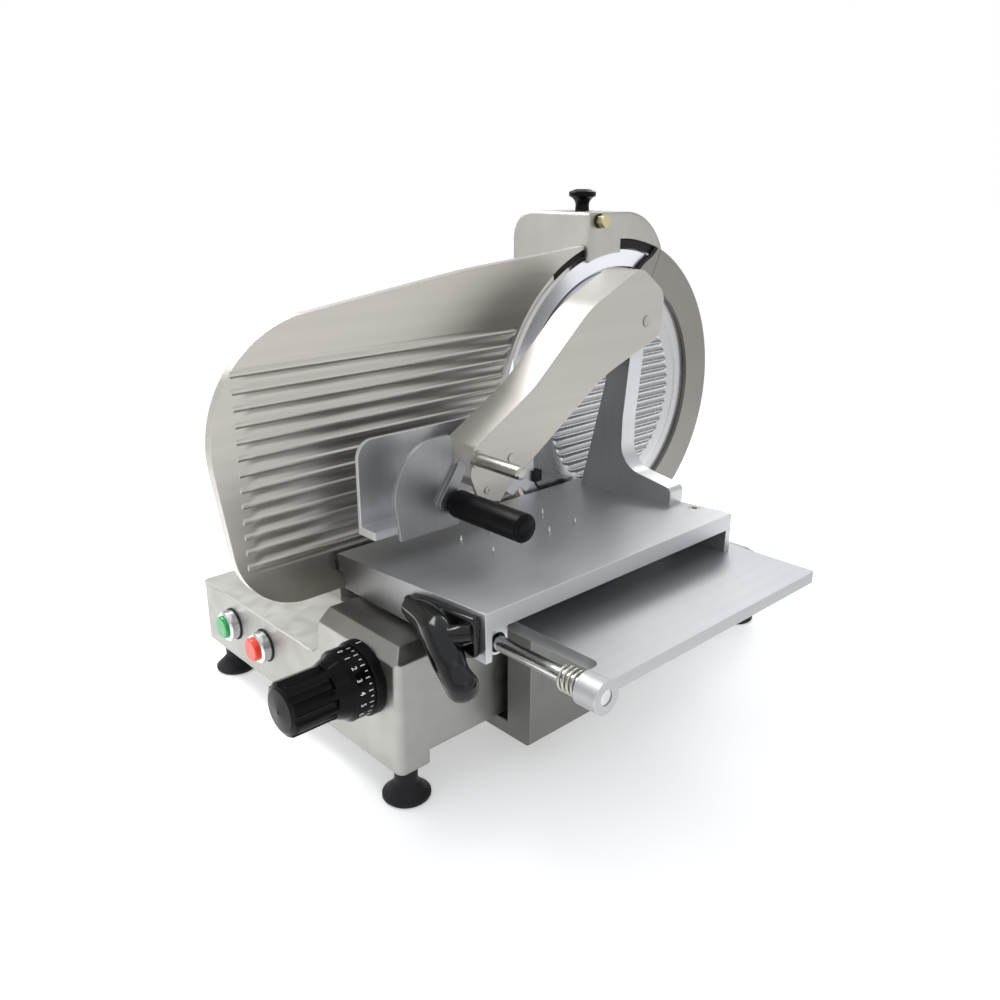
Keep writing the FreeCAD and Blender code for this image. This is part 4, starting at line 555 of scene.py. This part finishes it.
def limb(sections, steps=40, fine=6):
    """A smooth closed skin through round sections, each (centre, radius)."""
    knots = [Vector((*centre, radius)) for centre, radius in sections]
    knots = [knots[0] * 2 - knots[1]] + knots + [knots[-1] * 2 - knots[-2]]
    track = []
    for number in range(1, len(knots) - 2):
        before, first, second, after = knots[number - 1:number + 3]
        for step in range(fine):
            way = step / fine
            track.append(0.5 * (first * 2 + (second - before) * way
                                + (before * 2 - first * 5 + second * 4 - after) * way * way
                                + (first * 3 - before - second * 3 + after) * way * way * way))
    track.append(knots[-2])
    heading = (track[-1] - track[-2]).xyz.normalized()
    tip, tip_radius = track[-1].xyz, track[-1].w
    for turn in TIP_TURNS:
        track.append(Vector((*(tip + heading * tip_radius * math.sin(turn)),
                             tip_radius * math.cos(turn))))
    mesh = bmesh.new()
    rings = []
    for number, knot in enumerate(track):
        ahead = track[min(number + 1, len(track) - 1)].xyz - track[max(number - 1, 0)].xyz
        side = ahead.cross(Vector((0, 1, 0))).normalized()
        up = side.cross(ahead).normalized()
        rings.append([mesh.verts.new(knot.xyz + (side * math.cos(math.tau * k / steps)
                                                 + up * math.sin(math.tau * k / steps)) * knot.w)
                      for k in range(steps)])
    for first, second in zip(rings, rings[1:]):
        for k in range(steps):
            mesh.faces.new((first[k], first[k - 1], second[k - 1], second[k]))
    mesh.faces.new(rings[0])
    mesh.faces.new(rings[-1])
    bmesh.ops.recalc_face_normals(mesh, faces=mesh.faces)
    return mesh


def slab(outline, front, back, bevel):
    """A plate square to Y through (x, z) corners, its edges rounded."""
    mesh = bmesh.new()
    face = mesh.faces.new([mesh.verts.new((x, front, z)) for x, z in outline])
    grown = bmesh.ops.extrude_face_region(mesh, geom=[face])
    moved = [item for item in grown["geom"] if isinstance(item, bmesh.types.BMVert)]
    bmesh.ops.translate(mesh, verts=moved, vec=(0, back - front, 0))
    bmesh.ops.recalc_face_normals(mesh, faces=mesh.faces)
    bmesh.ops.bevel(mesh, geom=mesh.edges, offset=bevel, segments=4, profile=0.5,
                    affect="EDGES", clamp_overlap=True)
    return mesh


def text_bmesh(text, height):
    """The filled outline of a short text, centred on the origin in the XY plane."""
    curve = bpy.data.curves.new("figure", "FONT")
    curve.body = text
    curve.align_x = "CENTER"
    curve.resolution_u = 4
    curve.offset = 0.012
    holder = bpy.data.objects.new("figure", curve)
    bpy.context.scene.collection.objects.link(holder)
    bpy.context.view_layer.update()
    data = bpy.data.meshes.new_from_object(holder)
    mesh = bmesh.new()
    mesh.from_mesh(data)
    bpy.data.objects.remove(holder)
    bpy.data.meshes.remove(data)
    bpy.data.curves.remove(curve)
    low = Vector([min(vert.co[k] for vert in mesh.verts) for k in range(3)])
    high = Vector([max(vert.co[k] for vert in mesh.verts) for k in range(3)])
    size = height / (high.y - low.y)
    bmesh.ops.translate(mesh, verts=mesh.verts, vec=-(low + high) / 2)
    bmesh.ops.scale(mesh, verts=mesh.verts, vec=(size * 0.92, size, size))
    return mesh


def wrap_on_rim(mesh, centre, radius, level, angle, proud):
    """Lay a flat outline on a rim about the Y axis: its up runs towards +Y at level."""
    for vert in mesh.verts:
        turn = angle + vert.co.x / radius
        lift = radius + proud + vert.co.z
        along = level + vert.co.y
        vert.co = Vector((centre.x + lift * math.sin(turn), along,
                          centre.z + lift * math.cos(turn)))


# ---------------------------------------------------------------- operators

class FinishCastings(bpy.types.Operator):
    """Blasted and lacquered castings of the base, tower and carriage"""
    bl_idname = "slicer.finish_castings"
    bl_label = "Finish castings"

    def execute(self, context):
        colours = context.scene.slicer_colours
        casting = cast_finish("satin_casting", colours.casting)
        for node in ("base_casting", "gauge_guide_block", "gauge_bracket", "motor_cover"):
            wear_on(node, casting)
        wear_on("blade_tower", cast_finish("tower_casting", shade(colours.casting, 1.2),
                                           corner=5 * MM))
        wear_on("carriage_arm", cast_finish("carriage_casting", shade(colours.casting, 0.55)))
        pulley = turned_finish("turned_casting", colours.casting, middle("blade_pulley"))
        for node in ("blade_pulley", "motor_pulley"):
            wear_on(node, pulley)
        return {"FINISHED"}


class FinishBrushed(bpy.types.Operator):
    """Brushed aluminium of the plates, table, tray, column and arm"""
    bl_idname = "slicer.finish_brushed"
    bl_label = "Finish brushed aluminium"

    def execute(self, context):
        sheet = context.scene.slicer_colours.sheet
        table = context.scene.slicer_colours.table
        # The table's front face gets painted shade towards the blade's side.
        wear_on("product_table", brushed_finish("brushed_table", shade(table, 1.12),
                                                roughness=0.43, painted_shade=apron_film))
        wear_on("carriage_tray", brushed_finish("brushed_tray", shade(table, 0.89),
                                                roughness=0.52))
        wear_on("gauge_plate", brushed_finish("brushed_plate", sheet, roughness=0.35,
                                              waves=plate_waves))
        # The presser plate's factor of 1.5 is painted light: it brightens a face that shows a dark
        # reflection of the hand guard.
        for node, factor in (("arm_column", 1.1), ("presser_plate", 1.5), ("hand_guard", 0.62)):
            wear_on(node, brushed_finish("brushed_" + node, shade(table, factor), along="Z",
                                         roughness=0.4))
        wear_on("press_arm", brushed_finish("brushed_arm", shade(sheet, 0.9), roughness=0.36))
        centre = middle("blade_cover")
        wear_on("blade_cover", turned_finish("turned_cover", shade(table, 0.9), centre,
                                             roughness=0.24, waves=cover_waves,
                                             depth=0.05))
        wear_on("ring_guard", turned_finish("turned_guard", shade(sheet, 0.46), centre,
                                            roughness=0.34))
        return {"FINISHED"}


class FinishSteel(bpy.types.Operator):
    """Steels: the blade, shafts, rods, pins, screws and springs"""
    bl_idname = "slicer.finish_steel"
    bl_label = "Finish steels"

    def execute(self, context):
        colours = context.scene.slicer_colours
        wear_on("blade", turned_finish("chromed_blade", colours.blade, middle("blade"),
                                       roughness=0.32, ring=0.8 * MM, depth=0.06))
        ground = steel_finish("ground_steel", colours.steel, roughness=0.2)
        for node in ("carriage_guide_rod", "blade_spindle", "motor_shaft", "knob_shaft",
                     "spiral_cam", "gauge_slide_bars", "table_slide_rod", "table_spikes",
                     "presser_handle_rod", "stone_carrier"):
            wear_on(node, ground)
        pins = steel_finish("turned_pins", shade(colours.plating, 0.9), roughness=0.3)
        for node in ("arm_pins", "arm_lift_pin"):
            wear_on(node, pins)
        plated = steel_finish("bright_plating", colours.plating, roughness=0.3)
        for node in ("foot_studs", "spindle_bearings", "blade_screws", "gauge_screws",
                     "buffer_spring", "table_screw"):
            wear_on(node, plated)
        wear_on("bolt_washer", steel_finish("blackened_steel", shade(colours.steel, 0.08),
                                            roughness=0.4))
        wear_on("tower_bolt", steel_finish("yellow_zinc", colours.zinc, roughness=0.32))
        wear_on("button_bezels", turned_finish("plated_bezel", colours.bezel,
                                               middle("button_bezels"), axis="Y",
                                               roughness=0.16))
        mill = steel_finish("mill_sheet", shade(colours.steel, 0.9), roughness=0.42)
        for node in ("bottom_cover", "anti_tilt_rail"):
            wear_on(node, mill)
        bronze = steel_finish("sintered_bronze", colours.bronze, roughness=0.45)
        wear_on("carriage_bushes", bronze)
        return {"FINISHED"}


class FinishMouldings(bpy.types.Operator):
    """Plastics, rubber, paint and stone"""
    bl_idname = "slicer.finish_mouldings"
    bl_label = "Finish mouldings"

    def execute(self, context):
        colours = context.scene.slicer_colours
        gloss = moulded_finish("gloss_moulding", colours.black, roughness=0.13, coat=0.0)
        for node in ("thickness_knob", "thickness_dial", "cover_tie_knob", "sharpener_knob"):
            wear_on(node, gloss)
        wear_on("push_handle", moulded_finish("handle_moulding", colours.black, roughness=0.11,
                                              coat=0.0, gloss=0.4))
        satin = moulded_finish("satin_moulding", colours.satin, roughness=0.34, grain=0.05,
                               coat=0.0)
        for node in ("presser_handle", "contact_blocks", "control_box", "cable_gland",
                     "table_bush", "base_bushes"):
            wear_on(node, satin)
        wear_on("feet", rubber_finish("foot_rubber", colours.rubber))
        wear_on("drive_belt", rubber_finish("belt_rubber", colours.belt, roughness=0.7))
        wear_on("slide_pad", moulded_finish("nylon_pad", colours.nylon, roughness=0.45,
                                            coat=0.0))
        wear_on("start_button", moulded_finish("green_moulding", colours.start, roughness=0.22,
                                               coat=0.3))
        wear_on("stop_button", moulded_finish("red_moulding", colours.stop, roughness=0.22,
                                              coat=0.3))
        wear_on("motor", moulded_finish("motor_paint", colours.paint, roughness=0.4))
        wear_on("grinding_stone", stone_finish("bonded_stone", colours.stone))
        return {"FINISHED"}


class AddDialMarks(bpy.types.Operator):
    """Figures and marks printed round the thickness dial"""
    bl_idname = "slicer.add_dial_marks"
    bl_label = "Add dial marks"

    def execute(self, context):
        marks = context.scene.slicer_marks
        centre = middle("thickness_dial")
        rim = reach("thickness_dial").x / 2
        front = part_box("thickness_dial")[0][1]
        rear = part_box("thickness_dial")[1][1]
        ink = paint_print("dial_ink", context.scene.slicer_colours.print_white)
        whole = bmesh.new()
        for number in range(marks.figures):
            angle = number * marks.step
            figure = text_bmesh(str(number), marks.height)
            level = front + 3.6 * MM + marks.height / 2
            wrap_on_rim(figure, centre, rim, level, angle, marks.proud)
            join_into(whole, figure)
            for part, size in ((0.0, marks.long_mark), (0.5, marks.short_mark)):
                if number + part >= marks.figures - 0.5:
                    continue
                bar = bmesh.new()
                bmesh.ops.create_grid(bar, x_segments=1, y_segments=1, size=0.5)
                bmesh.ops.scale(bar, verts=bar.verts, vec=(marks.mark_width, size, 1))
                wrap_on_rim(bar, centre, rim, rear - 2.2 * MM - size / 2,
                            angle + part * marks.step, marks.proud)
                join_into(whole, bar)
        bmesh.ops.recalc_face_normals(whole, faces=whole.faces)
        finished("dial_marks", whole, ink, "knob")
        return {"FINISHED"}


class AddTrim(bpy.types.Operator):
    """Small trim: gaskets, index mark, stops, a screw and the grip's end plug"""
    bl_idname = "slicer.add_trim"
    bl_label = "Add trim"

    def execute(self, context):
        colours = context.scene.slicer_colours
        black = moulded_finish("trim_moulding", colours.satin, roughness=0.28, coat=0.0)
        rubber = rubber_finish("trim_rubber", colours.rubber)
        plated = steel_finish("trim_plating", colours.plating, roughness=0.3)
        self.add_gaskets(rubber)
        self.add_index(context)
        self.add_table_stop(plated, rubber)
        self.add_presser_trim(plated, rubber, black)
        return {"FINISHED"}

    def add_gaskets(self, rubber):
        """A rubber ring between each button's bezel and the base."""
        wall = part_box("base_casting")[0].y
        bezel = reach("button_bezels").z / 2
        whole = bmesh.new()
        for button in ("start_button", "stop_button"):
            centre = middle(button)
            join_into(whole, lathe([
                (wall - 1.6 * MM, bezel - 1 * MM), (wall - 1.6 * MM, bezel + 0.8 * MM),
                (wall - 1.0 * MM, bezel + 1.5 * MM), (wall, bezel + 1.6 * MM),
                (wall, bezel - 1 * MM)], "Y", (centre.x, 0, centre.z)))
        finished("button_gaskets", whole, rubber, "base")

    def add_index(self, context):
        """The dial's index line on the knob bush's collar."""
        centre = middle("thickness_dial")
        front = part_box("base_bushes")[0].y
        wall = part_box("base_casting")[0].y
        rim = reach("base_bushes").z / 2
        ink = paint_print("index_ink", context.scene.slicer_colours.print_white)
        mark = bmesh.new()
        bmesh.ops.create_grid(mark, x_segments=2, y_segments=1, size=0.5)
        bmesh.ops.scale(mark, verts=mark.verts, vec=(1.3 * MM, 5.5 * MM, 1))
        wrap_on_rim(mark, centre, rim, (front + wall) / 2 + 0.8 * MM, 0.0, 0.1 * MM)
        finished("index_mark", mark, ink, "base")

    def add_table_stop(self, plated, rubber):
        """The round stop at the table's front corner, with its rubber ring."""
        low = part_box("product_table")[0]
        edge, front = low.x, low.y
        centre = (0, front + 7 * MM, 187 * MM)
        pin = lathe([(edge - 3.2 * MM, 0), (edge - 3.2 * MM, 6.4 * MM), (edge - 2.6 * MM, 7 * MM),
                     (edge + 9 * MM, 7 * MM), (edge + 9 * MM, 0)], "X", centre)
        finished("table_stop", pin, plated, "table")
        ring = lathe([(edge - 1.8 * MM, 6.5 * MM), (edge - 1.8 * MM, 8.6 * MM),
                      (edge - 1.2 * MM, 9.2 * MM), (edge - 0.5 * MM, 9.2 * MM),
                      (edge, 8.6 * MM), (edge, 6.5 * MM)], "X", centre)
        finished("table_stop_ring", ring, rubber, "table")

    def add_presser_trim(self, plated, rubber, black):
        """The arm's screw, the presser's rubber stop and the plug in its handle's end."""
        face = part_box("press_arm")[1].x
        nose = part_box("press_arm")[0].y
        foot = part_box("press_arm")[0].z
        spot = (0, nose + 20.5 * MM, foot + 15.5 * MM)
        screw = lathe([(face - 0.5 * MM, 0), (face - 0.5 * MM, 3.6 * MM),
                       (face + 0.9 * MM, 3.6 * MM), (face + 1.5 * MM, 2.8 * MM),
                       (face + 1.5 * MM, 1.5 * MM), (face + 0.7 * MM, 1.3 * MM),
                       (face + 0.7 * MM, 0)], "X", spot, steps=36)
        finished("arm_screw", screw, plated, "arm")
        low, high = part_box("presser_plate")
        stop = block((low.x - 1 * MM, high.y - 3 * MM, low.z + 9 * MM),
                     (low.x + 9 * MM, high.y + 9 * MM, low.z + 22 * MM), 1.6 * MM)
        finished("presser_stop", stop, rubber, "presser")
        centre = middle("presser_handle")
        end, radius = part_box("presser_handle")[1].x, reach("presser_handle").z / 2
        plug = lathe([(end - 1 * MM, 0), (end - 1 * MM, radius * 0.72),
                      (end + 0.4 * MM, radius * 0.72), (end + 0.9 * MM, radius * 0.66),
                      (end + 0.9 * MM, 0)], "X", (0, centre.y, centre.z))
        finished("grip_plug", plug, black, "presser")


class AddBladeTrim(bpy.types.Operator):
    """The guard's curved upper end, a dark strip of painted shadow beside it, and painted shade in
    the slots round the blade
    """
    bl_idname = "slicer.add_blade_trim"
    bl_label = "Add blade trim"

    def execute(self, context):
        # Painted shade: dark strips where the slots round the blade and the edge of the guard's end
        # fall into shadow.
        slot_shade = rubber_finish("blade_painted_shade", context.scene.slicer_colours.rubber)
        axis, radius = middle("blade"), reach("blade").z / 2
        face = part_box("blade")[1].x
        guard_face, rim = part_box("ring_guard")[1].x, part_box("ring_guard")[1].y - axis.y
        lip = reach("blade_cover").z / 2 - 6 * MM

        def guard_end(spot):
            share = (rim - spot) / (rim - lip)
            curl = GUARD_CURL * math.sin(math.tau * share)
            return math.radians(GUARD_END + GUARD_SWEEP * (share - curl))

        def seal_end(spot):
            return guard_end(spot) + math.radians(SHADOW_ANGLE)

        end = rim_strip(axis, guard_face, lip, rim - 1.5 * MM, always(GUARD_START), guard_end)
        bmesh.ops.solidify(end, geom=end.faces, thickness=2.2 * MM)
        finished("guard_end", end, NODES["ring_guard"].material_slots[0].material, "base")
        # Painted shadow: a dark strip along the guard's curved end.
        shadow_strip = rim_strip(axis, guard_face + 0.2 * MM, lip, rim - 1.5 * MM, guard_end, seal_end)
        bmesh.ops.solidify(shadow_strip, geom=shadow_strip.faces, thickness=2.6 * MM)
        finished("guard_painted_shadow", shadow_strip, slot_shade, "base")
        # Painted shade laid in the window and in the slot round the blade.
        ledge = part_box("blade_tower")[1].x - PAINTED_SHADE_DEPTH
        window = rim_strip(axis, ledge, radius + 1.6 * MM, radius + 12.3 * MM,
                           always(WINDOW[0]), always(WINDOW[1]))
        finished("window_painted_shade", window, slot_shade, "base")
        slot = rim_strip(axis, face - PAINTED_SHADE_DEPTH, radius + 3.2 * MM, radius + 11.8 * MM,
                         always(SLOT[0]), always(SLOT[1]))
        finished("blade_painted_shade", slot, slot_shade, "gauge")
        return {"FINISHED"}


class AddHandle(bpy.types.Operator):
    """The push handle's moulding: a winged plate and a slanting grip"""
    bl_idname = "slicer.add_handle"
    bl_label = "Add handle"

    def execute(self, context):
        low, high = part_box("push_handle")
        left, back, top = low.x, high.y, high.z
        whole = slab([(left + x * MM, top + z * MM) for x, z in HANDLE_PLATE], back - 8 * MM,
                     back, 3 * MM)
        for spots in HANDLE_LIMBS:
            join_into(whole, limb([((left + x * MM, back - y * MM, top - z * MM), radius * MM)
                                   for x, y, z, radius in spots]))
        piece = finished("handle_moulding", whole,
                         NODES["push_handle"].material_slots[0].material, "table")
        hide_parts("push_handle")
        return {"FINISHED"}


def join_into(whole, part):
    """Add one bmesh to another and free it."""
    data = bpy.data.meshes.new("part")
    part.to_mesh(data)
    part.free()
    whole.from_mesh(data)
    bpy.data.meshes.remove(data)


class AddStage(bpy.types.Operator):
    """Pale floor, soft lamps and the camera"""
    bl_idname = "slicer.add_stage"
    bl_label = "Add stage"

    def execute(self, context):
        setup = context.scene.slicer_stage
        scene = context.scene
        mesh = bmesh.new()
        bmesh.ops.create_grid(mesh, x_segments=1, y_segments=1, size=FLOOR_SIZE)
        data = bpy.data.meshes.new("floor")
        mesh.to_mesh(data)
        mesh.free()
        floor = bpy.data.objects.new("floor", data)
        scene.collection.objects.link(floor)
        data.materials.append(floor_material())
        camera = bpy.data.cameras.new("camera")
        camera.sensor_width = SENSOR_WIDTH
        camera.lens = setup.lens
        holder = bpy.data.objects.new("camera", camera)
        scene.collection.objects.link(holder)
        holder.location = setup.eye
        holder.rotation_euler = (math.pi / 2 - setup.pitch, 0, setup.azimuth)
        scene.camera = holder
        scene.view_settings.view_transform = "Standard"
        for lamp in LAMPS:
            add_lamp(*lamp)
        scene.world = studio_world()
        return {"FINISHED"}


def add_lamp(name, place, size, power):
    """A square soft lamp that faces the middle of the slicer."""
    lamp = bpy.data.lights.new(name, "AREA")
    lamp.shape = "SQUARE"
    lamp.size = size
    lamp.energy = power
    holder = bpy.data.objects.new(name, lamp)
    bpy.context.scene.collection.objects.link(holder)
    holder.location = place
    aim = Vector(LAMP_AIM) - Vector(place)
    holder.rotation_euler = aim.to_track_quat("-Z", "Y").to_euler()


def floor_material():
    """A white floor that takes a soft shadow near the slicer and melts into the backdrop."""
    finish = Finish("floor_white", (0.9, 0.9, 0.9), 0.0, 0.9)
    finish.shader.inputs["Specular IOR Level"].default_value = 0.1
    far = finish.spread(finish.radius_about((0, 0, 0), "Z"), 0.0, 1.0, 0.55, 1.5)
    finish.feed("Base Color", finish.tint(far, (0.9, 0.9, 0.9), (0, 0, 0)))
    path = finish.add("ShaderNodeLightPath")
    seen = finish.calc("MAXIMUM", path.outputs["Is Glossy Ray"],
                       path.outputs["Is Transmission Ray"])
    seen = finish.calc("MAXIMUM", seen, path.outputs["Is Camera Ray"])
    glow = finish.spread(far, 0.34, 1.0, 0.0, 1.0)
    finish.shader.inputs["Emission Color"].default_value = (1, 1, 1, 1)
    finish.feed("Emission Strength", finish.calc("MULTIPLY", seen, glow))
    return finish.done()


def studio_world():
    """White round the horizon and overhead with a grey band between, for every kind of ray."""
    world = bpy.data.worlds.new("studio")
    world.use_nodes = True
    tree = world.node_tree
    sky = tree.nodes["Background"]
    place = tree.nodes.new("ShaderNodeTexCoord")
    split = tree.nodes.new("ShaderNodeSeparateXYZ")
    tree.links.new(place.outputs["Generated"], split.inputs[0])
    band = tree.nodes.new("ShaderNodeValToRGB")
    for number, (height, level) in enumerate(SKY):
        stop = band.color_ramp.elements[number] if number < 2 else band.color_ramp.elements.new(1)
        stop.position = height
        stop.color = (*level, 1)
    tree.links.new(split.outputs["Z"], band.inputs["Fac"])
    tree.links.new(band.outputs["Color"], sky.inputs["Color"])
    sky.inputs["Strength"].default_value = 1.0
    return world


class SlicerPanel(bpy.types.Panel):
    """The slicer's finishes and pieces"""
    bl_idname = "VIEW3D_PT_slicer"
    bl_label = "Slicer"
    bl_space_type = "VIEW_3D"
    bl_region_type = "UI"
    bl_category = "Slicer"

    def draw(self, context):
        for group in GROUPS:
            box = self.layout.box()
            settings = getattr(context.scene, group)
            for key in settings.__annotations__:
                box.prop(settings, key)
        for step in STEPS:
            self.layout.operator(step.bl_idname)


STEPS = (FinishCastings, FinishBrushed, FinishSteel, FinishMouldings, AddDialMarks, AddTrim,
         AddBladeTrim, AddHandle, AddStage)
GROUPS = {"slicer_colours": SlicerColours, "slicer_marks": SlicerMarks,
          "slicer_ribs": SlicerRibs, "slicer_stage": SlicerStage}


def register():
    """Register the property groups, operators and panel."""
    for group in GROUPS.values():
        bpy.utils.register_class(group)
    for name, group in GROUPS.items():
        setattr(bpy.types.Scene, name, PointerProperty(type=group))
    for step in STEPS:
        bpy.utils.register_class(step)
    bpy.utils.register_class(SlicerPanel)


def unregister():
    """Remove them again."""
    bpy.utils.unregister_class(SlicerPanel)
    for step in reversed(STEPS):
        bpy.utils.unregister_class(step)
    for name, group in GROUPS.items():
        delattr(bpy.types.Scene, name)
        bpy.utils.unregister_class(group)


def main():
    """Run every step."""
    register()
    for step in STEPS:
        group, name = step.bl_idname.split(".")
        getattr(getattr(bpy.ops, group), name)()


if __name__ == "__main__":
    main()
